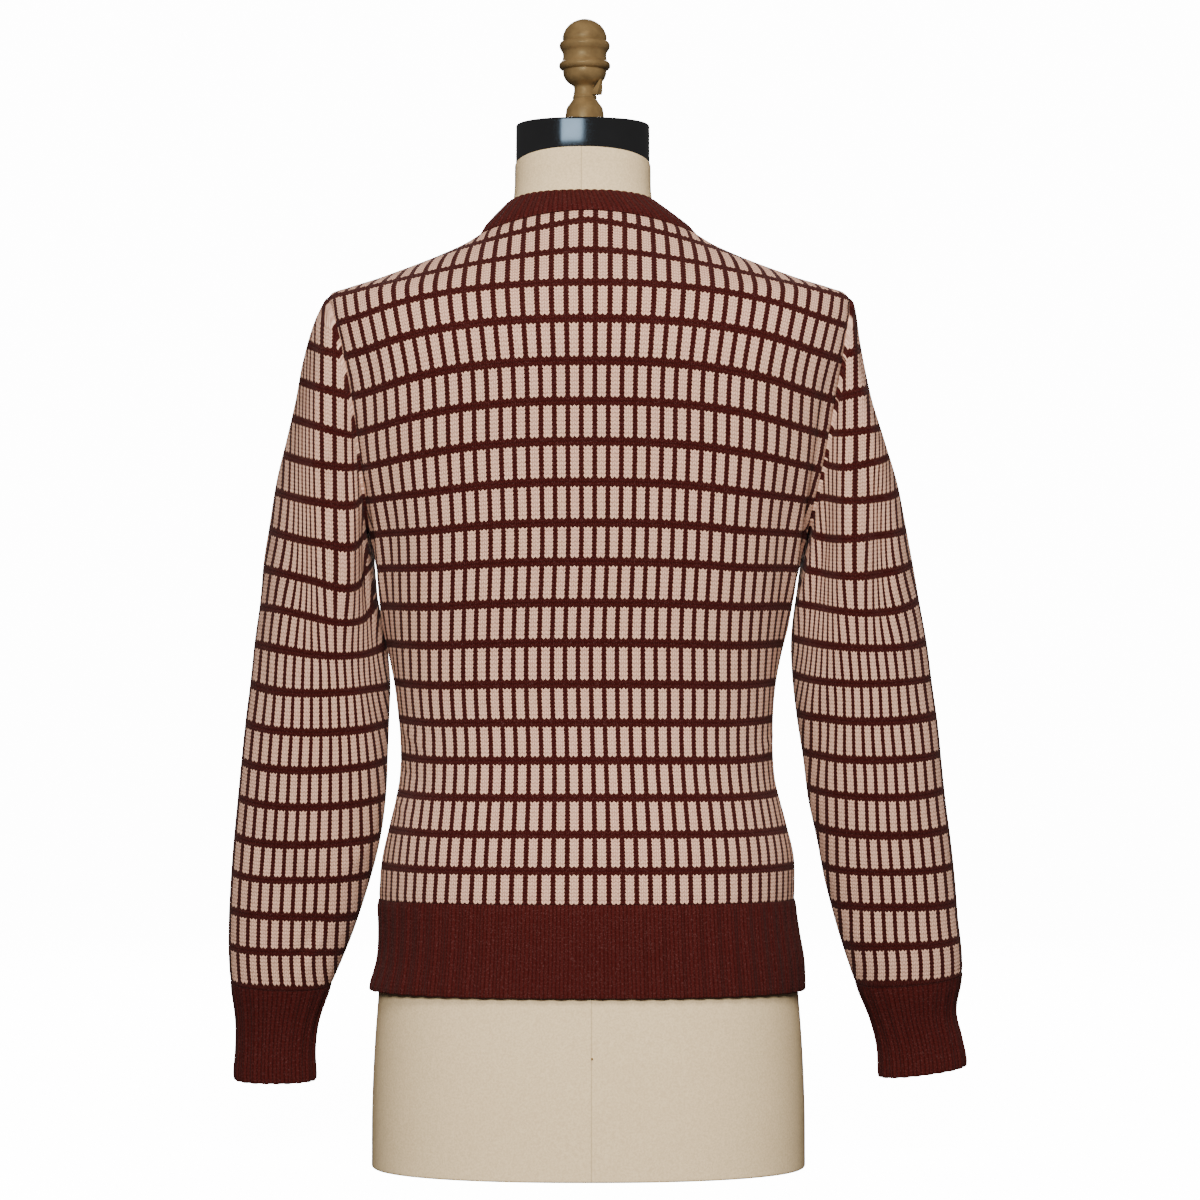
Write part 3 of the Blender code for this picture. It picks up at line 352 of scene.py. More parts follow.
# How many wales of the upper sleeves stand in 2.6 mm, by the distance from the middle in
# millimetres: they crowd in the troughs and stand wide on the ridges.
CROWDS = {
    "left": Table(
        "across closeness",
        (176, 2.3), (183, 1.8), (187, 0.95), (194, 0.78), (202, 0.76), (207, 1),
        (212, 2.2), (216, 2.8), (225, 2.5), (230, 1.5), (236, 1.15), (250, 1),
    ),
    "right": Table(
        "across closeness",
        (180, 2.4), (191, 2.3), (197, 1.1), (204, 0.74), (213, 0.72), (218, 1.2),
        (223, 2.6), (231, 2.7), (236, 1.6), (252, 1.5),
    ),
}
CROWD_RANGE = (120.0, 300.0)
WIDE_WALE = 2.6 * MM
RIDGES = {"left": 199.0, "right": 210.5}
CROWD_HEIGHTS = (0.38, 0.49)

# How far the courses of each sleeve hang below the plain map, in millimetres: on its outer side,
# in the middle of its back, toward its inner side and on its inner side.
HANG_SHARES = {"outer": 0.0, "middle": 0.5, "inner": 0.85, "edge": 1.0}
HANG = {
    "left": Table(
        "height outer middle inner edge",
        (140, -3.5, -3.5, -1.5, 0), (165, -3.5, -3, -1, 1.5), (190, -2, -1, 1.5, 3.5),
        (220, -3, -1.5, -1, 0), (250, -1, 0.8, 0, 0), (280, -2, 1.5, 0, -1),
        (310, 0, 3.5, 1.5, 0), (340, 0.5, 4.5, 3, 1.5), (370, 0, 4, 2.5, 2),
        (400, -1.5, 4.2, 4, 1), (430, 0, 7, 6.5, -3), (460, 0, 9, 7, -4),
        (490, 0, 9.8, 7.5, 1), (519, 0.5, 10.5, 8.6, 4), (548, 0.5, 9.5, 9, 7),
        (577, 1, 9.5, 13, 13), (605, 1, 8, 10.5, 11), (630, 1, 6, 8, 9),
        (680, 1, 5, 7, 8),
    ),
    "right": Table(
        "height outer middle inner edge",
        (140, -10, -8, -6, -3.6), (165, -9.2, -7.5, -5, -2.6), (190, -7.6, -8, -7, -5.6),
        (220, -8.2, -9, -8, -7.3), (250, -7, -6.3, -6.5, -7), (280, -7.8, -6.3, -8, -9.4),
        (310, -7, -4.7, -5.5, -7), (340, -4.7, -4, -5, -6.2), (370, -7, -4, -5, -7),
        (400, -2.4, -2, -4, -6.2), (430, -6, 0.4, -3.4, -4), (460, -6, 1.5, -1, -1.6),
        (490, -0.8, 4.6, 2.8, 0), (519, 0.5, 5.8, 5.5, 10), (548, 0.5, 8.5, 7.5, 11),
        (577, 8.5, 9.5, 10, 11), (605, 7.5, 11, 13.5, 14), (630, 4, 5, 6.5, 7.5),
        (680, 4, 5, 6, 7),
    ),
}

# The hem's pull-in at each side above its edge, and the panels' just above it, in millimetres.
PULLS = Table(
    "height left right",
    (130, 0, 0), (139, 0, -1.6), (146, -0.9, -1), (157, -2.8, -0.2),
    (168, -4, -0.2), (180, -3, -1.4), (193, -1.4, -2.5), (208, 0.2, -2.4),
    (224, 0, -1.4), (245, 0, 0), (260, 0, 0),
)

# The form: its sections, the slope its neck is cut on, the cap, the turned knob and the pin.
FORM = Table(
    "height half_width back front side_depth back_power front_power middle",
    (0, 168.9, 125, 114, 0, 2.3, 2.2, 0),
    (50, 168.5, 125.5, 114, 0, 2.3, 2.2, 0),
    (100, 166.2, 124, 112, 0, 2.3, 2.2, 0),
    (139, 163.3, 121.5, 109.5, 0, 2.3, 2.2, 0),
    (208, 159.9, 118.4, 109.3, 0, 2.3, 2.2, 0),
    (238, 157, 112.2, 106.5, 0, 2.3, 2.2, 0),
    (269, 149, 101.5, 102, 0, 2.3, 2.2, 0),
    (300, 142, 91, 99, 0, 2.32, 2.25, 0),
    (332, 140, 84, 98, 0, 2.35, 2.3, 0),
    (363, 142, 81.5, 102, 0, 2.4, 2.35, 0),
    (394, 146, 82.5, 112, 0, 2.4, 2.35, 0),
    (425, 152, 85.5, 125, 0, 2.45, 2.35, 0),
    (456, 158.5, 89, 132, 0, 2.5, 2.4, 0),
    (492.5, 165, 92.5, 128, 0, 2.5, 2.4, 0),
    (540, 175, 95.5, 111, 2, 2.5, 2.3, 0),
    (595, 183, 99, 91.5, 8, 2.5, 2.25, 0),
    (640, 186, 98, 76, 16, 2.45, 2.05, 0),
    (660, 185.5, 92.5, 69.5, 19, 2.2, 1.85, 0),
    (671, 182, 88, 64, 20, 2.0, 1.8, 0.2),
    (684, 162.5, 81, 59.6, 20, 1.8, 1.6, 0.5),
    (701, 118.5, 71, 58.5, 19.5, 1.72, 1.42, 1),
    (711, 92.3, 64, 58.5, 19, 1.7, 1.45, 1),
    (720, 75, 57.5, 58.5, 16, 1.75, 1.65, 2),
    (730, 65.5, 51, 58.8, 8, 1.85, 1.85, 4.2),
    (742, 57, 38.5, 59, -5, 2.05, 2.05, 4.5),
    (756, 54.2, 32.5, 59, -11, 2.2, 2.2, 4.5),
    (779.7, 53.4, 31.5, 59.5, -14, 2.2, 2.2, 4.5),
)
FORM_TOP = 779.7 * MM
FORM_CUT_SLOPE = 0.225
FORM_CUT_START = 742.0 * MM
FORM_INSET = 0.15 * MM
CAP_TOP = 813.0 * MM
CAP_INSET = 0.9 * MM
CAP_ROUND = 1.6 * MM
CAP_EDGE_ROUND = 0.5 * MM
FORM_ROUND = 1.8 * MM
FORM_ROWS = ((3.0, 700.0, 90), (704.0, 779.7, 34))
PULL_START = HEM_EDGE + 2.0 * MM
PULL_EASE = 14.0 * MM
KNOB_CENTRE = (3.0 * MM, -13.5 * MM)
KNOB = (
    (0, 896.4), (4.6, 895.7), (8.8, 894), (13.3, 890.6), (16.2, 886), (17.4, 880.9),
    (17.1, 878.9), (19, 877.8), (19.9, 875.4), (19.2, 872.6), (17.6, 870.2), (17.1, 866.4),
    (17.8, 863.4), (19.8, 861.2), (20.2, 859), (19, 857), (17.1, 856), (17, 853.6),
    (15.9, 850), (13.4, 846.8), (10.6, 844.8), (9, 843.6), (8.9, 836.4), (9.6, 834.8),
    (9.3, 833.4), (11.7, 830), (14.1, 826.5), (14.9, 822.5), (15.4, 813.3), (0, 813.3),
)
KNOB_CREASES = (0, 6, 16, 22, 24, 28, 29)
PIN_PLACE = (-3.1 * MM, 93.0 * MM)
PIN_RADIUS = 0.9 * MM

# Mesh steps.
FORM_STEPS = 240
KNOB_STEPS = 96
LOWER_ROWS = 72
ARM_ROWS = 60
NECK_STEPS = 22
SIDE_STEPS = 36
SLEEVE_ROWS = 120
ROW_SPREAD = 0.92
LOOP_SAMPLES = 1440
EDGE_SAMPLES = 1200
ARC_ROWS = 160
ARC_STEPS = 240

# Steps of the repeated sums, each enough for the sum to stand still.
NORMAL_PASSES = 40
COURSE_PASSES = 14
TOP_PASSES = 6

# Share of a length by which a point may miss an edge it stands on.
ON_EDGE = 0.0001
SHARP_CLOTH = math.radians(62)
SHARP_TURNED = math.radians(40)


# --- small helpers ----------------------------------------------------------------------------

def smooth_step(value):
    """0 to 1, level at both ends."""
    value = np.clip(value, 0.0, 1.0)
    return value * value * (3 - 2 * value)


def bell(value, width):
    """1 at 0, falling to nearly nothing two widths away."""
    return np.exp(-(value / width) ** 2)


def unit(vectors):
    """Vectors at length one."""
    return vectors / np.maximum(np.linalg.norm(vectors, axis=-1, keepdims=True), 1e-12)


def signed_power(value, power):
    """A power that keeps the value's sign."""
    return np.sign(value) * np.abs(value) ** power


def loop_tangents(loop):
    """Direction along a closed loop at each point."""
    return unit(np.roll(loop, -1, axis=0) - np.roll(loop, 1, axis=0))


def section(table, height, behind):
    """Depth of a section's widest line, and its reach and power behind or before that line."""
    side = table.at("side_depth", height)
    reach = np.where(behind, table.at("back", height) - side, table.at("front", height) + side)
    power = np.where(behind, table.at("back_power", height), table.at("front_power", height))
    return side, reach, power


def resample(loop, shares):
    """Points at shares of a closed loop's length."""
    closed = np.concatenate([loop, loop[:1]])
    run = np.concatenate([[0.0], np.cumsum(np.linalg.norm(np.diff(closed, axis=0), axis=1))])
    at = np.asarray(shares) * run[-1]
    return np.stack([np.interp(at, run, closed[:, axis]) for axis in range(3)], axis=-1)


def add_object(name, data):
    """A new object in the scene."""
    item = bpy.data.objects.new(name, data)
    bpy.context.scene.collection.objects.link(item)
    return item


# --- the body's cloth -------------------------------------------------------------------------

def torso_depth(x, height, facing):
    """Depth of the cloth's outer face at a width and height: facing is 1 behind, -1 in front."""
    side, reach, power = section(TORSO, height, facing > 0)
    share = np.clip(np.abs(x) / TORSO.at("half_width", height), 0.0, 1.0)
    return side + facing * reach * (1 - share ** power) ** (1 / power)


def torso_width(depth, height, facing):
    """Width of the cloth's outer face at a depth, measured from the side, and a height."""
    _, reach, power = section(TORSO, height, facing > 0)
    share = np.clip(depth / reach, 0.0, 1.0)
    return TORSO.at("half_width", height) * (1 - share ** power) ** (1 / power)


def torso_field(points):
    """1 on the cloth's outer face, and more outside it."""
    x, y, z = points[..., 0], points[..., 1], points[..., 2]
    side, reach, power = section(TORSO, z, y >= TORSO.at("side_depth", z))
    return np.abs(x / TORSO.at("half_width", z)) ** power + np.abs((y - side) / reach) ** power


def torso_normal(points, step=0.2 * MM):
    """Outward direction of the cloth at points on it."""
    slopes = []
    for axis in range(3):
        shift = np.zeros(3)
        shift[axis] = step
        slopes.append(torso_field(points + shift) - torso_field(points - shift))
    return unit(np.stack(slopes, axis=-1))


def sway(height):
    """How far the body's sections stand off its middle, toward +X."""
    share = np.clip((np.asarray(height) - RIB_TOP) / (UNDERARM - RIB_TOP), 0.0, 1.0)
    return SWAY * np.sin(math.pi * share ** SWAY_POWER) ** 2


def pull(x, height):
    """How far the cloth's sides are pulled in near the hem, as a shift of x."""
    left = PULLS.at("left", height)
    right = PULLS.at("right", height)
    share = np.clip(np.abs(x) / TORSO.at("half_width", height), 0.0, 1.0)
    return np.where(x >= 0, left, -right) * share ** 2


def armhole(side, facing):
    """One side's armhole edge, as on +X, from underarm to shoulder tip, on one panel."""
    turn = np.linspace(0.0, math.pi, ARM_ROWS + 1)
    height = UNDERARM + (SHOULDER_TIP - UNDERARM) * (1 - np.cos(turn)) / 2
    swing = (ARMHOLE_BACK if facing > 0 else ARMHOLE_FRONT)[side] * np.sin(turn) ** ARMHOLE_POWER
    width = torso_width(swing, height, facing)
    depth = TORSO.at("side_depth", height) + facing * swing
    return np.stack([width, depth, height], axis=-1)


def sleeve_loop(side):
    """One side's armhole, as on +X, from the shoulder over the back, without a repeat."""
    return np.concatenate([armhole(side, 1)[::-1], armhole(side, -1)[1:-1]])


def armhole_normals(side):
    """Outward directions of the cloth round the armhole, evened out along its edge."""
    normals = torso_normal(sleeve_loop(side))
    for _ in range(NORMAL_PASSES):
        normals = unit(np.roll(normals, 1, axis=0) + 2 * normals + np.roll(normals, -1, axis=0))
    return normals


def falling(xs, ys, at):
    """Where a curve that falls with xs has the values at."""
    return np.interp(-np.asarray(at), -ys, xs)


def panel_tops(spreads, facing, edge):
    """Height where each of a panel's columns ends: on the neckline, or on the shoulder seam."""
    heights = np.linspace(SHOULDER_TIP, NECK_CORNER_HEIGHT, EDGE_SAMPLES // 2)
    tip = edge[-1, 0]
    widths = tip * spreads
    shoulder = falling(heights, TORSO.at("half_width", heights), widths)
    if facing > 0:
        drop = (BACK_NECK_HEIGHT - NECK_CORNER_HEIGHT) * (widths / NECK_CORNER_WIDTH) ** 2
        neck = BACK_NECK_HEIGHT - drop
    else:
        heights = np.linspace(FRONT_NECK_HEIGHT, NECK_CORNER_HEIGHT, EDGE_SAMPLES)
        drop = (NECK_CORNER_HEIGHT - heights) / (NECK_CORNER_HEIGHT - FRONT_NECK_HEIGHT)
        scoop = NECK_CORNER_WIDTH * (1 - drop ** SCOOP_BOTTOM_POWER) ** SCOOP_SIDE_POWER
        reach = np.interp(heights, edge[:, 2], edge[:, 0])
        neck = np.interp(spreads, scoop / reach, heights)
    return np.where(widths <= NECK_CORNER_WIDTH * (1 + ON_EDGE), neck, shoulder)


def panel_angles(tip):
    """Angles of a panel's columns from its middle, with one on each neck corner and side."""
    neck = np.sin(np.linspace(0, math.pi / 2, NECK_STEPS + 1))
    half = list(np.arcsin(NECK_CORNER_WIDTH / tip * neck))
    half += list(np.linspace(half[-1], math.pi / 2, SIDE_STEPS + 1))[1:]
    return np.array([-angle for angle in half[:0:-1]] + half)


def panel_grid(facing):
    """Outer points of the back (facing 1) or front (-1) panel, rows from the rib upward."""
    edges = {side: armhole(side, facing) for side in ("left", "right")}
    tip = edges["left"][-1, 0]
    angles = panel_angles(tip)
    spreads = np.abs(np.sin(angles))
    left = angles >= 0
    tops = np.where(left, panel_tops(spreads, facing, edges["left"]),
                    panel_tops(spreads, facing, edges["right"]))
    lower = RIB_TOP + (UNDERARM - RIB_TOP) * np.linspace(0.0, 1.0, LOWER_ROWS + 1)
    upper = (1 - np.cos(np.linspace(0.0, math.pi, ARM_ROWS + 1))) / 2
    heights = np.concatenate([
        np.repeat(lower[:, None], len(angles), axis=1),
        UNDERARM + (tops[None, :] - UNDERARM) * upper[1:, None],
    ])
    above = np.where(left, np.interp(heights, edges["left"][:, 2], edges["left"][:, 0]),
                     np.interp(heights, edges["right"][:, 2], edges["right"][:, 0]))
    reach = np.where(heights <= UNDERARM, TORSO.at("half_width", heights), above)
    widths = reach * spreads[None, :]
    depths = torso_depth(widths, heights, facing)
    ridge = spreads * tip >= NECK_CORNER_WIDTH * (1 - ON_EDGE)
    depths[-1, ridge] = TORSO.at("side_depth", heights[-1, ridge])
    for number, side in ((0, "right"), (-1, "left")):
        widths[LOWER_ROWS:, number] = edges[side][:, 0]
        depths[LOWER_ROWS:, number] = edges[side][:, 1]
    return np.stack([np.where(left, widths, -widths), depths, heights], axis=-1)


def arc_lengths(points, facing):
    """Length round the level section from its middle to each point, and to the side."""
    levels = np.linspace(HEM_EDGE - 8 * MM, BACK_NECK_HEIGHT, ARC_ROWS)
    turns = np.linspace(0.0, math.pi / 2, ARC_STEPS + 1)
    half = TORSO.at("half_width", levels)[:, None]
    x = half * np.sin(turns)[None, :]
    depth = torso_depth(x, levels[:, None] + 0 * x, facing)
    steps = np.hypot(np.diff(x, axis=1), np.diff(depth, axis=1))
    run = np.concatenate([np.zeros((len(levels), 1)), np.cumsum(steps, axis=1)], axis=1)
    level = np.interp(points[..., 2], levels, np.arange(len(levels)))
    share = np.clip(np.abs(points[..., 0]) / TORSO.at("half_width", points[..., 2]), 0.0, 1.0)
    turn = np.arcsin(share) / (math.pi / 2) * (len(turns) - 1)
    low, left = np.floor(level).astype(int), np.floor(turn).astype(int)
    low, left = np.minimum(low, len(levels) - 2), np.minimum(left, len(turns) - 2)
    up, right = level - low, turn - left
    length = ((1 - up) * ((1 - right) * run[low, left] + right * run[low, left + 1])
              + up * ((1 - right) * run[low + 1, left] + right * run[low + 1, left + 1]))
    return length, (1 - up) * run[low, -1] + up * run[low + 1, -1]


def chart(points, facing):
    """Wale and course of points on the body, wales counted from the middle of the back."""
    length, _ = arc_lengths(points, facing)
    _, side_back = arc_lengths(points, 1)
    side_wale = 3 * side_back / REPEATS.at("width", points[..., 2])
    if facing > 0:
        wale = 3 * length / REPEATS.at("width", points[..., 2])
    else:
        _, side_front = arc_lengths(points, -1)
        wale = HALF_ROUND - (HALF_ROUND - side_wale) * length / side_front
    near = np.minimum(wale, HALF_ROUND - wale) / DROP_WALE
    rise = smooth_step((near - RISE_START) / (RISE_END - RISE_START))
    courses, levels, drops, powers, rises = COURSES.columns.values()
    height = points[..., 2] / MM
    course = np.interp(height, levels, courses)
    for _ in range(COURSE_PASSES):
        power = np.interp(course, courses, powers)
        over = np.clip(near - 1, 0.0, DROP_OVER)
        fall = np.minimum(near, 1.0) ** power + power * over * (1 - over / (2 * DROP_OVER))
        target = height + np.interp(course, courses, drops) * fall
        target = target - np.interp(course, courses, rises) * rise
        wanted = smooth_curve(levels, courses, target)
        beyond = np.maximum(target - levels[-1], 0) / LAST_COURSE
        course = (course + wanted + beyond) / 2
    return np.sign(points[..., 0]) * wale, course


def edge_distance(grid, edge):
    """Distance of each point of a grid from a line of points."""
    flat = grid.reshape(-1, 3)
    best = np.full(len(flat), 1.0)
    for point in edge:
        best = np.minimum(best, np.linalg.norm(flat - point, axis=1))
    return best.reshape(grid.shape[:2])


def fold_swell(fold, height, end):
    """A fold's share of its depth at a height, and the share of its length passed there."""
    length = fold["height"] - fold["end_height"]
    run = (fold["height"] - height / MM) / length
    along = np.clip(run, 0, 1)
    swell = FOLD_START_SHARE + (1 - FOLD_START_SHARE) * np.sin(np.pi * along)
    return swell * bell((run - along) * length, end), along


def body_folds(wale, height):
    """How far the body's folds move the cloth out."""
    lift = np.zeros(wale.shape)
    for fold in BODY_FOLDS.rows():
        swell, along = fold_swell(fold, height, BODY_FOLD_END)
        line = fold["wale"] + (fold["end_wale"] - fold["wale"]) * along
        lift += fold["depth"] * MM * swell * bell(wale - line, fold["width"])
    return lift


def soft_waves(wale, course, seed):
    """Small uneven swellings of hand-hung cloth, the same every time."""
    draw = np.random.default_rng(seed)
    lift = np.zeros(wale.shape)
    for _ in range(WAVE_COUNT):
        across, along = draw.uniform(*WAVE_ACROSS), draw.uniform(*WAVE_ALONG)
        phase = draw.uniform(0, 2 * math.pi)
        tilt = draw.uniform(-1, 1) * WAVE_TILT
        lift += np.sin(wale * across + course * (along + tilt) + phase)
    return lift / WAVE_COUNT


def panel_lift(base, wale, course, facing):
    """How far each point of a panel stands off its base: folds, waves and rolled-in seams."""
    first, last = SIDE_STEPS, SIDE_STEPS + 2 * NECK_STEPS
    top = base[-1]
    seam = np.minimum(edge_distance(base, base[LOWER_ROWS:, -1]),
                      edge_distance(base, base[LOWER_ROWS:, 0]))
    away = {
        "armhole": seam,
        "shoulder": edge_distance(base, np.concatenate([top[:first + 1], top[last:]])),
        "side": edge_distance(base, np.concatenate([base[:LOWER_ROWS, 0], base[:LOWER_ROWS, -1]])),
        "neck": edge_distance(base, top[first:last + 1]),
    }
    nearest = np.min(list(away.values()), axis=0)
    away["rib"] = base[..., 2] - RIB_TOP
    dip = np.max([depth * bell(away[edge], width) for edge, (depth, width) in DIPS.items()], axis=0)
    swell = SEAM_SWELL * bell(seam - SEAM_SWELL_PLACE, SEAM_SWELL_WIDTH)
    hold = smooth_step(nearest / EDGE_CALM) * smooth_step(away["rib"] / RIB_CALM)
    pucker = SEAM_PUCKER * np.sin(course * PUCKER_TURN + np.sign(wale) * PUCKER_SHIFT)
    pucker *= bell(seam - PUCKER_PLACE, PUCKER_WIDTH)
    lift = body_folds(wale, base[..., 2]) + WAVES * soft_waves(wale, course, BODY_SEED + facing)
    room = smooth_step((np.abs(wale) - ROOM_WALE) / ROOM_EASE)
    room *= smooth_step((HALF_ROUND - ROOM_WALE - np.abs(wale)) / ROOM_EASE)
    room *= smooth_step((base[..., 2] - ROOM_START) / ROOM_RISE)
    return np.maximum(lift * hold, -DEEPEST - ROOM * room) + swell + pucker - dip


def panel_normals(base, facing):
    """Outward directions of a panel, level at the rib and the sleeves' own at the armholes."""
    normals = torso_normal(base)
    normals[0] = unit(normals[0] * np.array([1.0, 1.0, 0.0]))
    for side, number, sign in (("left", -1, 1.0), ("right", 0, -1.0)):
        ring = armhole_normals(side)
        edge = ring[:ARM_ROWS + 1][::-1]
        if facing < 0:
            edge = np.roll(ring, -ARM_ROWS, axis=0)[:ARM_ROWS + 1]
        normals[LOWER_ROWS:, number] = edge * np.array([sign, 1.0, 1.0])
    return normals


def build_panel(name, facing):
    """Back or front panel: outer and inner face, rolled in at its seams."""
    base = panel_grid(facing)
    wale, course = chart(base, facing)
    normals = panel_normals(base, facing)
    lift = panel_lift(base, wale, course, facing)
    base[..., 0] += sway(base[..., 2]) + pull(base[..., 0], base[..., 2])
    outer = base + normals * lift[..., None]
    inner = base - (WALL + np.maximum(-lift - DEEPEST, 0.0))[..., None] * normals
    sides = (slice(LOWER_ROWS + 1), [0, -1], 1)
    for face in (outer, inner):
        face[sides] += facing * SEAM_GAP / 2
        face[-1, :SIDE_STEPS + 1, 1] += facing * SEAM_GAP / 2
        face[-1, SIDE_STEPS + 2 * NECK_STEPS:, 1] += facing * SEAM_GAP / 2
    chart_map = np.stack([wale, course], axis=-1)
    if facing > 0:
        outer, inner, chart_map = outer[:, ::-1], inner[:, ::-1], chart_map[:, ::-1]
    else:
        chart_map[..., 0] = np.where(wale < 0, wale, wale - 2 * HALF_ROUND)
        chart_map[:, chart_map.shape[1] // 2, 0] = -HALF_ROUND
    return shell(name, outer, inner, chart_map, False)


# --- the sleeves ------------------------------------------------------------------------------

def sleeve_lean(height):
    """How fast the sleeve's middle moves back as the height rises."""
    above = SLEEVE.at("middle_depth", height + MM)
    below = SLEEVE.at("middle_depth", height - MM)
    return (above - below) / (2 * MM)


def sleeve_point(side, height, angle):
    """Point on a plain sleeve, as if on the +X side; angle runs from the outer side backward."""
    outer = SLEEVE.at(side + "_outer", height)
    inner = SLEEVE.at(side + "_inner", height)
    middle = SLEEVE.at("middle_depth", height)
    lean = sleeve_lean(height)
    across = signed_power(np.cos(angle), 2 / SLEEVE_POWER)
    back = signed_power(np.sin(angle), 2 / SLEEVE_POWER)
    x = (outer + inner) / 2 + (outer - inner) / 2 * across
    swing = SLEEVE.at("half_depth", height) * back
    rise = TIPS.at(side, height) * (outer - inner) / 2 * across
    return np.stack([x, middle + swing, height - swing * lean + rise], axis=-1)


def ring_outward(side, loop, height):
    """Outward directions of a sleeve's ring, in the ring's own slanting plane."""
    axis = unit(np.array([-float(TIPS.at(side, height)), float(sleeve_lean(height)), 1.0]))
    out = unit(np.cross(loop_tangents(loop), axis))
    flip = ((out * (loop - loop.mean(axis=0))).sum(axis=-1)).mean() < 0
    return -out if flip else out


def fold_lift(side, angle, height):
    """How far the folds move a sleeve's face out at an angle and height."""
    lift = np.zeros(np.broadcast(angle, height).shape)
    degrees = np.degrees(angle) % 360
    for fold in SLEEVE_FOLDS[side].rows():
        swell, along = fold_swell(fold, height, FOLD_END)
        line = fold["angle"] + (fold["end_angle"] - fold["angle"]) * along
        lift += fold["depth"] * MM * swell * bell(degrees - line, fold["width"])
    return lift


def grid_normals(grid):
    """Outward directions of a tube's grid of points, whose rows go up and columns run round."""
    along = np.gradient(grid, axis=0)
    around = np.roll(grid, -1, axis=1) - np.roll(grid, 1, axis=1)
    normals = unit(np.cross(around, along))
    centre = grid.mean(axis=1, keepdims=True)
    flip = ((grid - centre) * normals).sum(axis=-1).mean() < 0
    return -normals if flip else normals


def sleeve_hang(side, level, across, behind):
    """How far the courses hang below the plain map, by the share across from the outer side."""
    hangs = {name: HANG[side].at(name, level) for name in HANG_SHARES}
    hang = 0.0
    for name, share in HANG_SHARES.items():
        weight = 1.0
        for other in HANG_SHARES.values():
            if other != share:
                weight = weight * (across - other) / (share - other)
        hang = hang + weight * hangs[name]
    plain = hangs["outer"] + (hangs["edge"] - hangs["outer"]) * across ** 2
    return np.where(behind, hang, plain)


def crowded_wales(side, x):
    """Wales between a sleeve's widest ridge and a place, negative on its outer side."""
    places = np.arange(*CROWD_RANGE)
    closeness = np.interp(places, CROWDS[side]["across"], CROWDS[side]["closeness"])
    passed = np.cumsum(closeness) * MM / WIDE_WALE
    return np.interp(RIDGES[side], places, passed) - np.interp(x / MM, places, passed)


def sleeve_wales(side, tube, across, level):
    """Wales round each row of a sleeve from its outer line, forward ones below zero."""
    closed = np.concatenate([tube, tube[:, :1]], axis=1)
    steps = np.linalg.norm(np.diff(closed, axis=1), axis=2)
    run = np.concatenate([np.zeros((len(tube), 1)), np.cumsum(steps, axis=1)], axis=1)
    half = tube.shape[1] // 2
    across = np.concatenate([across, across[:, :1]], axis=1)
    back, front = run[:, :half + 1], run[:, -1:] - run[:, half:]
    back_share = back / back[:, -1:]
    back_share = back_share + SLEEVE_EVENNESS * (across[:, :half + 1] - back_share)
    front_share = front / front[:, :1]
    front_share = front_share + SLEEVE_EVENNESS * (across[:, half:] - front_share)
    back_wale = back_share * back[:, -1:] / SLEEVE_WALE
    front_wale = -front_share * front[:, :1] / SLEEVE_WALE
    low, high = CROWD_HEIGHTS
    height = level.mean(axis=1)
    crowd = smooth_step((height - low) / (high - low))[:, None]
    crowded = crowded_wales(side, tube[:, :half + 1, 0])
    row = int(np.abs(height - (low + high) / 2).argmin())
    ridge_wale = np.interp(0.0, crowded[row], back_wale[row])
    crowded = crowded + REPEAT_WALES * np.round(ridge_wale / REPEAT_WALES)
    back_wale = back_wale + crowd * (crowded - back_wale)
    return back_wale, front_wale + back_wale[:, :1] * (1 - front_share)


def sleeve_tube(side, seam, lead):
    """Plain rows of points from the cuff to the line before the armhole, and their levels."""
    count = len(seam)
    angle = 2 * math.pi * np.arange(count) / count
    top = lead[:, 2].copy()
    for _ in range(TOP_PASSES):
        top += lead[:, 2] - sleeve_point(side, top, angle)[:, 2]
    shift = lead - sleeve_point(side, top, angle)
    shares = np.linspace(0.0, 1.0, SLEEVE_ROWS + 1)[:, None] ** ROW_SPREAD
    level = CUFF_TOPS[side] + (top - CUFF_TOPS[side]) * shares
    blend = smooth_step((level - SLEEVE_BLEND_START) / (top - SLEEVE_BLEND_START))
    return sleeve_point(side, level, angle) + blend[..., None] * shift, level


def sleeve_chart(side, tube, level, angle):
    """Wales of a sleeve's back and front half, and the course of each of its points."""
    half = tube.shape[1] // 2
    x = tube[..., 0]
    width = x[:, :1] - x[:, half:half + 1]
    across = np.clip((x[:, :1] - x) / width, 0.0, 1.0)
    rise = TIPS.at(side, level) * width * (0.5 - across)
    plain = (level + rise + sleeve_hang(side, level, across, angle <= math.pi)) / MM
    course = np.interp(plain, SLEEVE_COURSES["height"], SLEEVE_COURSES["course"])
    back_wale, front_wale = sleeve_wales(side, tube, across, level)
    return back_wale, front_wale, course


def sleeve_lift(side, angle, height, level, wale, course):
    """How far the folds and the soft waves move a sleeve's face out: not at all at its ends."""
    fade = smooth_step((1 - np.linspace(0, 1, SLEEVE_ROWS + 1)) / FOLD_FADE)[:, None]
    fade = fade * smooth_step((level - CUFF_TOPS[side]) / CUFF_CALM)
    waves = soft_waves(wale * np.cos(angle / 2) ** 2, course, SLEEVE_SEEDS[side])
    return (fold_lift(side, angle, height) + WAVES * waves) * fade


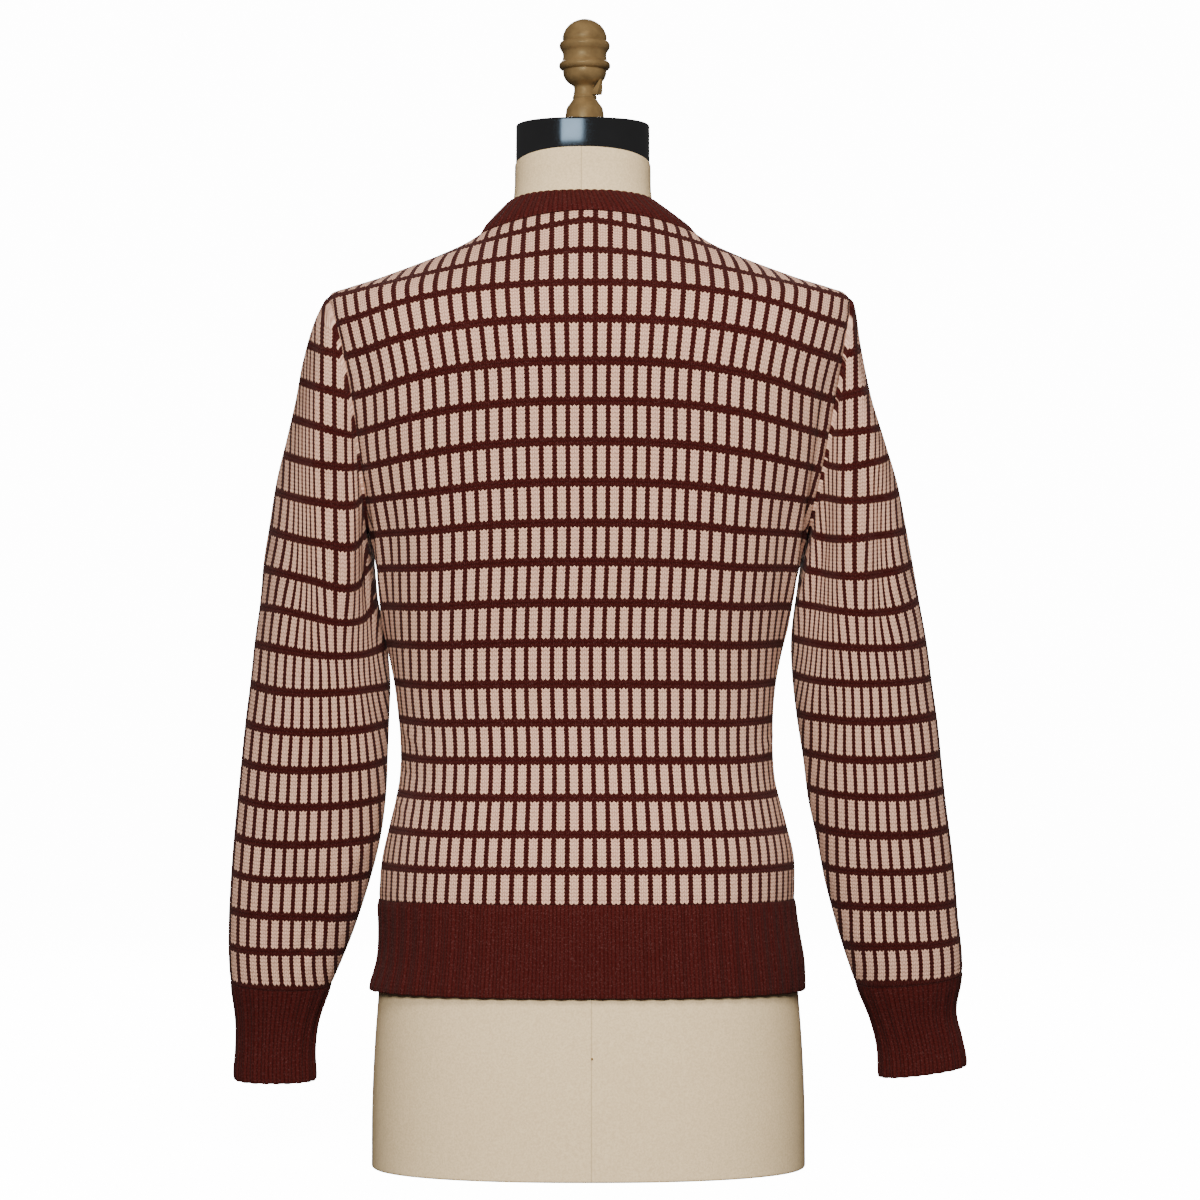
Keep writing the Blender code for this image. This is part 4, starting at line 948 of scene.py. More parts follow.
def build_sleeve(side):
    """Set-in sleeve: outer and inner face, from the cuff to the armhole."""
    loop = sleeve_loop(side)
    normal = armhole_normals(side)
    away = unit(np.cross(loop_tangents(loop), normal))
    away *= np.where((away * (loop - loop.mean(axis=0))).sum(axis=-1) > 0, -1, 1)[:, None]
    half = len(loop) // 2
    angle = 2 * math.pi * np.arange(len(loop)) / len(loop)
    seam = loop + SLEEVE_GAP * away
    turn = smooth_step((1 - np.cos(angle)) / 2 * TURN_REACH - TURN_START)[:, None]
    spring = unit(normal * CAP_SPRING + np.array([0.0, 0.0, -1.0]))
    lead = seam + CAP_LEAD * (1 - turn) * spring + UNDERARM_TURN * turn * normal
    tube, level = sleeve_tube(side, seam, lead)
    facing = grid_normals(tube)
    facing[0] = ring_outward(side, tube[0], CUFF_TOPS[side])
    back_wale, front_wale, course = sleeve_chart(side, tube, level, angle)
    wale = np.concatenate([back_wale[:, :-1], front_wale[:, :-1]], axis=1)
    lift = sleeve_lift(side, angle, tube[..., 2], level, wale, course)
    from_top = level[-1] - level
    rising = smooth_step((PUFF_TURN - turn[:, 0]) / PUFF_EASE)[None, :]
    puff = CAP_PUFF * bell(from_top - CAP_PUFF_PLACE, CAP_PUFF_WIDTH) * rising
    pucker = CAP_PUCKER * np.sin(wale * PUCKER_SHIFT) * bell(from_top, CAP_PUFF_PLACE) * rising
    cuff_dip = CUFF_DIP * bell(level - CUFF_TOPS[side], CUFF_DIP_WIDTH)
    inside = tube + facing * (lift - WALL)[..., None]
    tube = tube + facing * (lift + puff + pucker - cuff_dip)[..., None]
    facing_out = grid_normals(tube)

    bulge = ((lead - seam) * normal).sum(axis=-1, keepdims=True) > 0
    bend = (1 - (normal * facing_out[-1]).sum(axis=-1, keepdims=True)) * bulge
    middle_normal = unit(normal + facing_out[-1] - bend * away)
    middle = (seam + lead) / 2 + away * UNDERARM_TURN / 2 * turn
    sunk = seam - SEAM_SINK * normal
    outer = np.concatenate([tube, middle[None], sunk[None]])
    inner = np.concatenate([
        inside,
        (middle - WALL * middle_normal)[None],
        (seam - WALL * normal)[None],
    ])
    outer, inner = np.roll(outer, -half, axis=1), np.roll(inner, -half, axis=1)
    wales = np.concatenate([front_wale[:, :-1], back_wale], axis=1)
    course = np.concatenate([course[:, half:], course[:, :half + 1]], axis=1)
    chart_map = np.stack([wales, course], axis=-1)
    chart_map = np.concatenate([chart_map, chart_map[-1:], chart_map[-1:]])
    if side == "right":
        flip = np.array([-1.0, 1.0, 1.0])
        outer, inner = (outer * flip)[:, ::-1], (inner * flip)[:, ::-1]
        outer, inner = np.roll(outer, 1, axis=1), np.roll(inner, 1, axis=1)
        chart_map = chart_map[:, ::-1]
    return shell("knit_sleeve_" + side, outer, inner, chart_map, True)


# --- ribbed rings -----------------------------------------------------------------------------

def rib_lift(place, profile):
    """Soft lift of a rib at places round the ring counted in ribs."""
    at = np.asarray(place) % 1.0
    xs, ys = np.array(profile).T
    blur = [np.interp((at + shift) % 1.0, xs, ys) for shift in (-0.05, -0.025, 0.0, 0.025, 0.05)]
    return np.mean(blur, axis=0)


def ribbed_ring(name, loops, inner_loops, ribs, profile, height, raised, wales, spots, lip):
    """A closed ring with ribs, its rows spread between the given loops and a rounded free edge.

    raised is the share of the ribs' height at each loop, spots the spans of the rows' places from
    0 to 1, wales how many wales a rib has, and lip which end is free: 0 the first or -1 the last.
    """
    samples = ribs * (CUFF_RIB_SAMPLES if ribs == CUFF_RIBS else RIB_SAMPLES)
    shares = np.arange(samples) / samples
    turns = 2 * math.pi * shares
    uneven = 1 + RIB_UNEVEN * np.sin(9 * turns + 1.3) * np.sin(5 * turns)
    lift = rib_lift(shares * ribs, profile)
    outers = np.array([resample(loop, shares) for loop in loops])
    inners = np.array([resample(loop, shares) for loop in inner_loops])
    run = np.linalg.norm(np.diff(outers, axis=0), axis=2).mean(axis=1)
    keys = np.concatenate([[0.0], np.cumsum(run)]) / run.sum()
    outer, inner, course = [], [], []
    for spot in np.concatenate([np.linspace(*span) for span in spots]):
        out, into = smooth_curve(keys, outers, spot), smooth_curve(keys, inners, spot)
        share = float(np.interp(spot, keys, raised))
        outward = unit(out - into)
        outer.append(out + outward * (height * share * lift * uneven)[:, None])
        inner.append(into)
        course.append(np.full(samples + 1, spot * run.sum() / RIB_COURSE))
    outer, inner, course = np.array(outer), np.array(inner), np.array(course)
    free, back = (0, 1) if lip == 0 else (-1, -2)
    along = unit(outer[free] - outer[back])
    deep = unit(inner[free] - outer[free])
    thick = np.linalg.norm(inner[free] - outer[free], axis=1)[:, None]
    lips = []
    for turn in LIP_TURNS:
        lips.append(outer[free] + deep * thick * (1 - math.cos(turn)) / 2
                    + along * thick * LIP_ROUND * math.sin(turn))
    chart_map = np.stack([np.broadcast_to(np.arange(samples + 1) / samples * ribs * wales,
                                          course.shape), course], axis=-1)
    return shell(name, outer, inner, chart_map, True, lips=np.array(lips), lip_end=lip)


def level_loop(height):
    """The cloth's outer face at one height, round from the middle of the back toward +X."""
    turn = np.linspace(0, 2 * math.pi, LOOP_SAMPLES, endpoint=False)
    height = np.full(LOOP_SAMPLES, height)
    x = TORSO.at("half_width", height) * np.sin(turn)
    depth = torso_depth(x, height, np.where(np.cos(turn) >= 0, 1, -1))
    return np.stack([x + pull(x, height), depth, height], axis=-1)


def build_hem():
    """Ribbed hem, below the panels."""
    heights = (HEM_EDGE + 1 * MM, HEM_EDGE + 5 * MM, 160 * MM, 185 * MM, RIB_TOP - 5 * MM,
               RIB_TOP - SEAM_GAP)
    loops = [level_loop(height) for height in heights]
    level = np.array([1.0, 1.0, 0.0])
    inner = [loop - WALL * unit(torso_normal(loop) * level) for loop in loops]
    return ribbed_ring("knit_hem", loops, inner, HEM_RIBS, RIB_PROFILE, HEM_RIB_HEIGHT,
                       RIB_FADE, 5, HEM_SPOTS, 0)


def mirror_loop(loop):
    """A loop on the -X side, still running the same way round."""
    return (loop * np.array([-1.0, 1.0, 1.0]))[::-1]


def build_cuff(side):
    """Ribbed cuff, below a sleeve."""
    edge, top = CUFF_EDGES[side], CUFF_TOPS[side]
    heights = [edge + 1.0 * MM, edge + 4 * MM, edge + 0.3 * (top - edge),
               edge + 0.6 * (top - edge), top - 8 * MM, top - SEAM_GAP * 1.1]
    angle = np.linspace(0, 2 * math.pi, LOOP_SAMPLES, endpoint=False)
    loops = [sleeve_point(side, np.full(LOOP_SAMPLES, height), angle) for height in heights]
    inner = [loop - WALL * ring_outward(side, loop, height)
             for loop, height in zip(loops, heights)]
    if side == "right":
        loops = [mirror_loop(loop) for loop in loops]
        inner = [mirror_loop(loop) for loop in inner]
    return ribbed_ring("knit_cuff_" + side, loops, inner, CUFF_RIBS, RIB_PROFILE, CUFF_RIB_HEIGHT,
                       RIB_FADE, 3, CUFF_SPOTS, 0)


def neck_edge():
    """The panels' neck edge, round from the middle of the back toward +X, and its inner edge."""
    first, last = SIDE_STEPS, SIDE_STEPS + 2 * NECK_STEPS
    middle = (first + last) // 2
    half = middle - first
    back = panel_grid(1)[-1, first:last + 1]
    front = panel_grid(-1)[-1, first:last + 1]
    loop = np.concatenate([back[half:], front[::-1][1:-1], back[:half]])
    return loop, loop - WALL * torso_normal(loop)


def band_loop():
    """The neckband's upper edge, round from the middle of the back toward +X."""
    turn = np.linspace(0, 2 * math.pi, LOOP_SAMPLES, endpoint=False)
    folded = np.degrees(np.minimum(turn, 2 * math.pi - turn))
    height = smooth_curve(BAND_EDGE["angle"], BAND_EDGE["height"], folded) * MM
    middle = (BAND_BACK - BAND_FRONT) / 2
    depth = middle + (BAND_BACK + BAND_FRONT) / 2 * np.cos(turn)
    return np.stack([BAND_MIDDLE + BAND_HALF_WIDTH * np.sin(turn), depth, height], axis=-1)


def build_neckband():
    """Ribbed neckband, from the panels' neck edge up to its own edge."""
    shares = np.linspace(0, 1, LOOP_SAMPLES, endpoint=False)
    edge, inside = neck_edge()
    low, low_inside = resample(edge, shares), resample(inside, shares)
    high = resample(band_loop(), shares)
    rise = unit(high - low)
    start = low + BAND_GAP * rise
    start_inside = low_inside + BAND_GAP * rise
    out = unit(np.cross(loop_tangents(high), rise))
    out *= np.where((out * (high - high.mean(axis=0))).sum(axis=-1) > 0, 1, -1)[:, None]
    bend = start + (high - start) * BAND_BEND_SHARE + out * BAND_BEND
    high = high - rise * BAND_LOWER
    loops = [start, bend, (bend + high) / 2 + out * BAND_SWELL, high]
    inner = [start_inside, bend - WALL * out, (bend + high) / 2 - WALL * out, high - WALL * out]
    return ribbed_ring("knit_neckband", loops, inner, NECK_RIBS, NECK_RIB_PROFILE,
                       NECK_RIB_HEIGHT, (0.0, 1.0, 1.0, 0.85), 2, NECK_SPOTS, -1)


# --- the form ---------------------------------------------------------------------------------

def form_loop(height, inset=0.0):
    """One section of the form; near the top it is tipped like the cut of the neck."""
    turn = np.linspace(0, 2 * math.pi, FORM_STEPS, endpoint=False)
    side, reach, power = section(FORM, height, np.cos(turn) >= 0)
    x = (FORM.at("half_width", height) - inset) * signed_power(np.sin(turn), 2 / power)
    y = side + (reach - inset) * signed_power(np.cos(turn), 2 / power)
    tip = smooth_step((height - FORM_CUT_START) / (FORM_TOP - FORM_CUT_START))
    z = height + tip * FORM_CUT_SLOPE * (y - KNOB_CENTRE[1])
    hidden = smooth_step((height - PULL_START) / PULL_EASE)
    x = x + pull(x, height) * hidden + FORM.at("middle", height) + sway(height)
    return np.stack([x, y, z], axis=-1)


def loft(name, loops):
    """A closed piece through loops of equal count, with a flat face at each end."""
    points = np.concatenate(loops)
    around = len(loops[0])
    here = np.arange(around)
    after = (here + 1) % around
    faces = [tuple(int(number) for number in here[::-1])]
    for row in range(len(loops) - 1):
        low, high = row * around, (row + 1) * around
        faces += np.stack([low + here, low + after, high + after, high + here], axis=-1).tolist()
    faces.append(tuple(int(number) for number in here + len(points) - around))
    mesh = bpy.data.meshes.new(name)
    mesh.from_pydata(points.tolist(), [], faces)
    mesh.shade_smooth()
    mesh.set_sharp_from_angle(angle=SHARP_TURNED)
    return add_object(name, mesh)


def rounded(loop, other, radius, steps=5):
    """Loops that round a solid's end from its side, at loop, over to its flat face."""
    centre = loop.mean(axis=0)
    flat = (loop - centre) * np.array([1.0, 1.0, 0.0])
    inward = -unit(flat)
    along = unit(loop - other)
    turns = np.linspace(0, math.pi / 2, steps + 1)
    return [loop + inward * radius * (1 - math.cos(turn)) + along * radius * math.sin(turn)
            for turn in turns]


def build_form():
    """Canvas form: a smooth torso with a softly rounded lower edge and a sloping neck."""
    heights = np.concatenate([np.linspace(*span) for span in FORM_ROWS]) * MM
    loops = [form_loop(height, FORM_INSET) for height in heights]
    low = loops[0].copy()
    low[:, 2] = FORM_ROUND
    base = rounded(low, loops[0], FORM_ROUND)[1:]
    return loft("form_torso", base[::-1] + [low] + loops)


def build_neck_cap():
    """Metal cap on the neck, its lower edge on the form's slope and its top level."""
    up = np.array([0.0, 0.0, 1.0])
    neck = form_loop(FORM_TOP, CAP_INSET)
    low = neck + SEAM_GAP * up
    high = neck.copy()
    high[:, 2] = CAP_TOP - CAP_ROUND
    edge = rounded(low + CAP_EDGE_ROUND * up, high, CAP_EDGE_ROUND, 3)[1:]
    return loft("form_cap", edge[::-1] + [low + 1.2 * CAP_EDGE_ROUND * up]
                + rounded(high, low, CAP_ROUND))


def knob_profile():
    """The knob's outline, smooth between its creases."""
    knots = np.array(KNOB) * MM
    fine = []
    for start, end in zip(KNOB_CREASES, KNOB_CREASES[1:]):
        part = knots[start:end + 1]
        run = np.concatenate([[0.0], np.cumsum(np.linalg.norm(np.diff(part, axis=0), axis=1))])
        at = np.linspace(0, run[-1], max(2, (end - start) * 5 + 1))
        piece = part[[0, -1]] if len(part) == 2 else np.stack(
            [smooth_curve(run, part[:, axis], at) for axis in (0, 1)], axis=-1)
        fine += list(piece if not fine else piece[1:])
    return np.array(fine)


def build_knob():
    """Turned knob: its profile swept round the neck's axis."""
    profile = knob_profile()[1:-1][::-1]
    turn = np.linspace(0, 2 * math.pi, KNOB_STEPS, endpoint=False)
    loops = [np.stack([KNOB_CENTRE[0] + radius * np.sin(turn), KNOB_CENTRE[1] + radius * np.cos(turn),
                       np.full(KNOB_STEPS, height)], axis=-1) for radius, height in profile]
    return loft("form_knob", [loop[::-1] for loop in loops])


def build_pin():
    """A pin's small round head in the canvas, on the seam at the back."""
    x, height = PIN_PLACE
    loop = form_loop(height, FORM_INSET)
    back = loop[np.cos(np.linspace(0, 2 * math.pi, FORM_STEPS, endpoint=False)) > 0]
    depth = float(back[np.argmin(np.abs(back[:, 0] - x)), 1])
    mesh = bpy.data.meshes.new("form_pin")
    shape = bmesh.new()
    bmesh.ops.create_uvsphere(shape, u_segments=16, v_segments=10, radius=PIN_RADIUS)
    bmesh.ops.translate(shape, vec=(x, depth + 0.3 * PIN_RADIUS, height), verts=shape.verts)
    shape.to_mesh(mesh)
    shape.free()
    mesh.shade_smooth()
    return add_object("form_pin", mesh)


# --- meshes -----------------------------------------------------------------------------------

def shell(name, outer, inner, chart_map, closed, lips=None, lip_end=0):
    """A wall between two grids of points with the chart as its map, and a round lip if given."""
    rows, columns = outer.shape[:2]
    span = columns if closed else columns - 1
    points = [outer.reshape(-1, 3), inner.reshape(-1, 3)]
    count = rows * columns
    number = np.arange(span)
    after = (number + 1) % columns
    faces, corners = [], []

    def add(a, b, c, d, map_a, map_b, map_c, map_d):
        faces.append(np.stack([a, b, c, d], axis=-1).reshape(-1, 4))
        corners.append(np.stack([map_a, map_b, map_c, map_d], axis=-2).reshape(-1, 4, 2))

    row = np.arange(rows - 1)[:, None] * columns
    low_left, low_right = row + number, row + after
    high_left, high_right = low_left + columns, low_right + columns
    maps = (chart_map[:-1, :span], chart_map[:-1, 1:span + 1],
            chart_map[1:, 1:span + 1], chart_map[1:, :span])
    add(low_left, low_right, high_right, high_left, *maps)
    add(low_left + count, high_left + count, high_right + count, low_right + count,
        maps[0], maps[3], maps[2], maps[1])
    for end in (0, -1):
        at = (0 if end == 0 else rows - 1) * columns
        left_map, right_map = chart_map[end, :span], chart_map[end, 1:span + 1]
        rims = [at + np.arange(columns)]
        if lips is not None and end == lip_end:
            for lip in lips:
                rims.append(sum(len(part) for part in points) + np.arange(columns))
                points.append(lip)
        rims.append(at + count + np.arange(columns))
        for here, there in zip(rims, rims[1:]):
            a, b, c, d = here[number], here[after], there[after], there[number]
            if end == 0:
                add(a, d, c, b, left_map, left_map, right_map, right_map)
            else:
                add(a, b, c, d, left_map, right_map, right_map, left_map)
    if not closed:
        for end in (0, -1):
            at = np.arange(rows) * columns + (0 if end == 0 else columns - 1)
            low_map, high_map = chart_map[:-1, end], chart_map[1:, end]
            a, b = at[:-1], at[1:]
            if end == 0:
                add(a, b, b + count, a + count, low_map, high_map, high_map, low_map)
            else:
                add(a, a + count, b + count, b, low_map, low_map, high_map, high_map)
    mesh = bpy.data.meshes.new(name)
    points = np.concatenate(points)
    faces = np.concatenate(faces)
    mesh.from_pydata(points.tolist(), [], faces.tolist())
    layer = mesh.uv_layers.new(name="stitches")
    layer.data.foreach_set("uv", np.concatenate(corners).astype(np.float32).ravel())
    mesh.update()
    mesh.shade_smooth()
    mesh.set_sharp_from_angle(angle=SHARP_CLOTH)
    return add_object(name, mesh)


# --- materials --------------------------------------------------------------------------------

# The yarns, from the top of a stitch to the painted shade in its grooves, a painted highlight on the
# tops of the dark yarn, and the pale hairs on the dark one.
CREAM = (0.74, 0.455, 0.32, 1.0)
CREAM_WARM = (0.70, 0.41, 0.285, 1.0)
CREAM_GROOVE_SHADE = (0.24, 0.115, 0.08, 1.0)
WINE = (0.042, 0.0060, 0.0050, 1.0)
WINE_GROOVE_SHADE = (0.018, 0.0028, 0.0024, 1.0)
WINE_HIGHLIGHT = (0.075, 0.014, 0.012, 1.0)
LINT = (0.17, 0.075, 0.068, 1.0)
SHEEN_TINT = (0.9, 0.55, 0.5, 1.0)
LINT_SHARE = 0.34
NAP = 0.35

# The canvas, its grain and seam, threads in turns round the form and a metre of height.
CANVAS = (0.76, 0.58, 0.34, 1.0)
CANVAS_WARM = (0.70, 0.53, 0.30, 1.0)
CANVAS_GRAIN = (0.50, 0.36, 0.20, 1.0)
CANVAS_SEAM = (0.22, 0.15, 0.08, 1.0)
WARP_TURNS = 900.0
WEFT_TURNS = 5200.0
SEAM_LOW_X = -2.6 * MM
SEAM_TOP_X = 5.4 * MM
SEAM_LINE = (0.25 * MM, 0.75 * MM)

# The metals, bright and worn.
CHROME = (0.40, 0.40, 0.41, 1.0)
CHROME_WORN = (0.20, 0.19, 0.18, 1.0)
BRASS = (0.50, 0.32, 0.135, 1.0)
BRASS_WORN = (0.10, 0.055, 0.02, 1.0)
ROUGH_SPREAD = 0.14

# A stitch: how far its legs slant, how far the yarn strays, and how soft its colour's edges are.
STITCH_SLANT = 0.5
STITCH_FUZZ = 0.16
WALE_EDGE = 0.07
COURSE_EDGE = 0.08

# A cream block: half its width in wales, and its first and last course in the repeat.
BLOCK_REACH = 0.93
BLOCK_START = 0.12
BLOCK_END = 7.86


class Value:
    """A node's output, to add, subtract and multiply like a number."""

    def __init__(self, make, socket):
        self.make = make
        self.socket = socket

    def __add__(self, other):
        return self.make.math("ADD", self, other)

    def __sub__(self, other):
        return self.make.math("SUBTRACT", self, other)

    def __rsub__(self, other):
        return self.make.math("SUBTRACT", other, self)

    def __mul__(self, other):
        return self.make.math("MULTIPLY", self, other)


class Nodes:
    """Short way to write a material's nodes."""

    def __init__(self, name):
        self.material = bpy.data.materials.new(name)
        self.material.use_nodes = True
        self.tree = self.material.node_tree
        self.inputs = self.tree.nodes["Principled BSDF"].inputs
        self.place = self.node("ShaderNodeTexCoord").outputs["Object"]

    def node(self, kind, **settings):
        """A new node with its settings."""
        item = self.tree.nodes.new(kind)
        for key, value in settings.items():
            setattr(item, key, value)
        return item

    def put(self, socket, value):
        """Gives a socket a constant, or links it to an output."""
        output = value.socket if isinstance(value, Value) else value
        if isinstance(output, bpy.types.NodeSocket):
            self.tree.links.new(output, socket)
        else:
            socket.default_value = output

    def math(self, operation, *values):
        """The result of a sum on values."""
        item = self.node("ShaderNodeMath", operation=operation)
        for socket, value in zip(item.inputs, values):
            self.put(socket, value)
        return Value(self, item.outputs[0])

    def mix(self, share, first, second):
        """The first colour where share is 0, the second where it is 1."""
        item = self.node("ShaderNodeMix", data_type="RGBA")
        for name, value in (("Factor", share), ("A", first), ("B", second)):
            self.put(item.inputs[name], value)
        return Value(self, item.outputs["Result"])

    def noise(self, scale, detail=2.0, roughness=0.5):
        """Cloudy values about 0.5 over the object, scale in clouds a metre."""
        item = self.node("ShaderNodeTexNoise")
        self.put(item.inputs["Vector"], self.place)
        item.inputs["Scale"].default_value = scale
        item.inputs["Detail"].default_value = detail
        item.inputs["Roughness"].default_value = roughness
        return Value(self, item.outputs["Fac"])

    def blend(self, low, high, value):
        """0 at low, 1 at high, smooth between."""
        item = self.node("ShaderNodeMapRange", interpolation_type="SMOOTHSTEP")
        self.put(item.inputs["Value"], value)
        item.inputs["From Min"].default_value = low
        item.inputs["From Max"].default_value = high
        return Value(self, item.outputs["Result"])

    def parts(self, vector):
        """A vector's x, y and z."""
        item = self.node("ShaderNodeSeparateXYZ")
        self.put(item.inputs[0], vector)
        return [Value(self, output) for output in item.outputs]

    def relief(self, height, strength, distance):
        """Shades the surface as if it rose by a distance in metres where height is 1."""
        item = self.node("ShaderNodeBump")
        item.inputs["Strength"].default_value = strength
        item.inputs["Distance"].default_value = distance
        self.put(item.inputs["Height"], height)
        self.put(self.inputs["Normal"], item.outputs["Normal"])


def stitches(make):
    """Wale, place from a stitch's middle to its sides, course, and place along the yarn."""
    across, up, _ = make.parts(make.node("ShaderNodeUVMap", uv_map="stitches").outputs["UV"])
    wale = across + (make.noise(420.0, 3.0, 0.6) - 0.5) * STITCH_FUZZ
    course = up + (make.noise(510.0, 3.0, 0.6) - 0.5) * STITCH_FUZZ
    leg = make.math("ABSOLUTE", (wale - make.math("FLOOR", wale)) * 2.0 - 1.0)
    course = course + STITCH_SLANT / 2 - leg * STITCH_SLANT
    return wale, leg, course, make.math("FRACT", course)


def leg_height(make, leg, along):
    """Roundness of a stitch's two legs: 1 on top of the yarn, 0 in the grooves. It shapes the relief
    and also masks the painted shade and highlight in the yarn's colour.
    """
    across = make.math("SINE", leg * math.pi) * 0.8 + 0.2
    return across * make.math("POWER", make.math("SINE", along * math.pi), 0.9)


def with_lint(make, colour):
    """Adds fine pale hairs to a dark yarn."""
    hairs = make.blend(0.52, 0.72, make.noise(1100.0, 3.0, 0.7))
    return make.mix(hairs * LINT_SHARE, colour, LINT)


def finish_cloth(make, colour, height, bump, sheen):
    """Colour, roughness, sheen and relief of the knitted cloth, with fine hairs on it."""
    make.put(make.inputs["Base Color"], colour)
    make.inputs["Roughness"].default_value = 0.94
    make.inputs["Specular IOR Level"].default_value = 0.1
    make.inputs["Sheen Weight"].default_value = sheen
    make.inputs["Sheen Roughness"].default_value = 0.5
    make.inputs["Sheen Tint"].default_value = SHEEN_TINT
    hairs = make.noise(1500.0, 3.0, 0.7)
    make.relief(height * (1 - NAP) + hairs * NAP, bump, 0.9 * MM)


def knit_material():
    """Two-colour knit: cream blocks two wales by eight courses, wine between them."""
    make = Nodes("two-colour knit")
    wale, leg, course, along = stitches(make)
    reach = make.math("COSINE", along * (2 * math.pi)) * -WALE_EDGE + BLOCK_REACH
    in_repeat = make.math("FLOORED_MODULO", wale + 1.0, REPEAT_WALES)
    inside = reach - make.math("ABSOLUTE", in_repeat - 1.0)
    row = make.math("FLOORED_MODULO", course, REPEAT_COURSES)
    begun = make.blend(BLOCK_START - COURSE_EDGE, BLOCK_START + COURSE_EDGE, row)
    ended = make.blend(BLOCK_END - COURSE_EDGE, BLOCK_END + COURSE_EDGE, row)
    cream = make.blend(-WALE_EDGE, WALE_EDGE, inside) * begun * (1.0 - ended)
    height = leg_height(make, leg, along)
    # Painted shade: the cream darkens toward the grooves between the yarn's legs, broken up by a fine
    # noise.
    shade_speckle = make.noise(900.0, 3.0, 0.7) * 1.4 - 0.7
    cream_colour = make.mix(make.noise(26.0), CREAM, CREAM_WARM)
    cream_colour = make.mix((1.0 - height + shade_speckle) * 0.8, cream_colour, CREAM_GROOVE_SHADE)
    # Painted shade: the wine darkens in the grooves between the yarn's legs.
    wine_colour = with_lint(make, make.mix(height, WINE_GROOVE_SHADE, WINE))
    finish_cloth(make, make.mix(cream, wine_colour, cream_colour), height, 0.8, 0.05)
    return make.material


def rib_material():
    """Ribbed knit of one colour, its wales and courses in relief, with painted shade in its grooves
    and painted highlights on the tops of its yarn.
    """
    make = Nodes("wine rib knit")
    _, leg, _, along = stitches(make)
    height = leg_height(make, leg, along)
    ridge = 1.0 - make.math("POWER", leg, 2.0)
    # Painted shade: the wine darkens toward the sides of each wale, in the grooves of the rib.
    colour = make.mix(ridge, WINE_GROOVE_SHADE, WINE)
    # Painted highlight: lighter wine on the tops of the yarn, patchy by a noise.
    colour = make.mix(height * make.noise(60.0) * 0.25, colour, WINE_HIGHLIGHT)
    finish_cloth(make, with_lint(make, colour), height * 0.5 + ridge * 0.5, 0.7, 0.03)
    return make.material


def canvas_material():
    """Plain woven canvas with a seam down the middle of the back and the front."""
    make = Nodes("form canvas")
    x, y, z = make.parts(make.place)
    turn = make.math("ARCTAN2", x, y)
    weave = make.math("SINE", turn * WARP_TURNS) * make.math("SINE", z * WEFT_TURNS)
    slub = make.noise(240.0, 3.0, 0.6)
    grain = make.blend(0.3, 0.7, make.noise(700.0, 2.0, 0.6))
    middle = make.blend(0.3, 0.72, z) * (SEAM_TOP_X - SEAM_LOW_X) + SEAM_LOW_X
    seam = 1.0 - make.blend(*SEAM_LINE, make.math("ABSOLUTE", x - middle))
    colour = make.mix(make.noise(14.0, 3.0, 0.6), CANVAS, CANVAS_WARM)
    colour = make.mix(grain * 0.5 + slub * 0.3, colour, CANVAS_GRAIN)
    make.put(make.inputs["Base Color"], make.mix(seam * 0.4, colour, CANVAS_SEAM))
    make.inputs["Roughness"].default_value = 0.85
    make.inputs["Specular IOR Level"].default_value = 0.25
    make.relief(weave * 0.25 + slub * 0.6 - seam * 1.5, 0.35, 0.25 * MM)
    return make.material


def metal_material(name, base, worn, metallic, roughness, scale, share):
    """Metal with soft blotches of wear, of a scale in clouds a metre and a share of the colour."""
    make = Nodes(name)
    blotch = make.noise(scale, 4.0, 0.6)
    make.put(make.inputs["Base Color"], make.mix(blotch * share, base, worn))
    make.inputs["Metallic"].default_value = metallic
    make.put(make.inputs["Roughness"], blotch * ROUGH_SPREAD + roughness)
    return make.material


def paper_material():
    """The backdrop's white, bright enough to stay white in the picture."""
    material = bpy.data.materials.new("pale floor")
    material.use_nodes = True
    inputs = material.node_tree.nodes["Principled BSDF"].inputs
    inputs["Base Color"].default_value = (0.92, 0.92, 0.92, 1.0)
    inputs["Roughness"].default_value = 0.9
    inputs["Emission Color"].default_value = (1.0, 1.0, 1.0, 1.0)
    inputs["Emission Strength"].default_value = 14.0
    return material


# --- pieces -----------------------------------------------------------------------------------

def dress(item, material, slot, *nodes):
    """Gives a piece its material, hangs it on the root body and hides the solids it stands for; slot
    is not used.
    """
    item.data.materials.append(material)
    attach(item, "root")
    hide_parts(*nodes)


knit = knit_material()
rib = rib_material()
back = build_panel("knit_back", 1)
front = build_panel("knit_front", -1)
sleeves = {side: build_sleeve(side) for side in ("left", "right")}
hem = build_hem()
cuffs = {side: build_cuff(side) for side in ("left", "right")}
band = build_neckband()
dress(back, knit, "knit", "back")
dress(front, knit, "knit", "front")
dress(hem, rib, "rib", "hem_rib")
dress(band, rib, "rib", "neckband")
for side in ("left", "right"):
    dress(sleeves[side], knit, "knit", "sleeve_" + side)
    dress(cuffs[side], rib, "rib", "cuff_" + side)

canvas = canvas_material()
chrome = metal_material("dark plated metal", CHROME, CHROME_WORN, 1.0, 0.07, 30.0, 0.6)
brass = metal_material("aged brass", BRASS, BRASS_WORN, 0.65, 0.28, 90.0, 0.9)
dress(build_form(), canvas, "canvas", "dress_form")
cap = build_neck_cap()
knob = build_knob()
dress(cap, chrome, "chrome", "neck_cap")
dress(knob, brass, "brass", "knob")
pin = build_pin()
pin.data.materials.append(brass)
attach(pin, "root")
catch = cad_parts["catch"]
catch.data.materials.clear()
catch.data.materials.append(brass)


# --- floor, light and camera ------------------------------------------------------------------

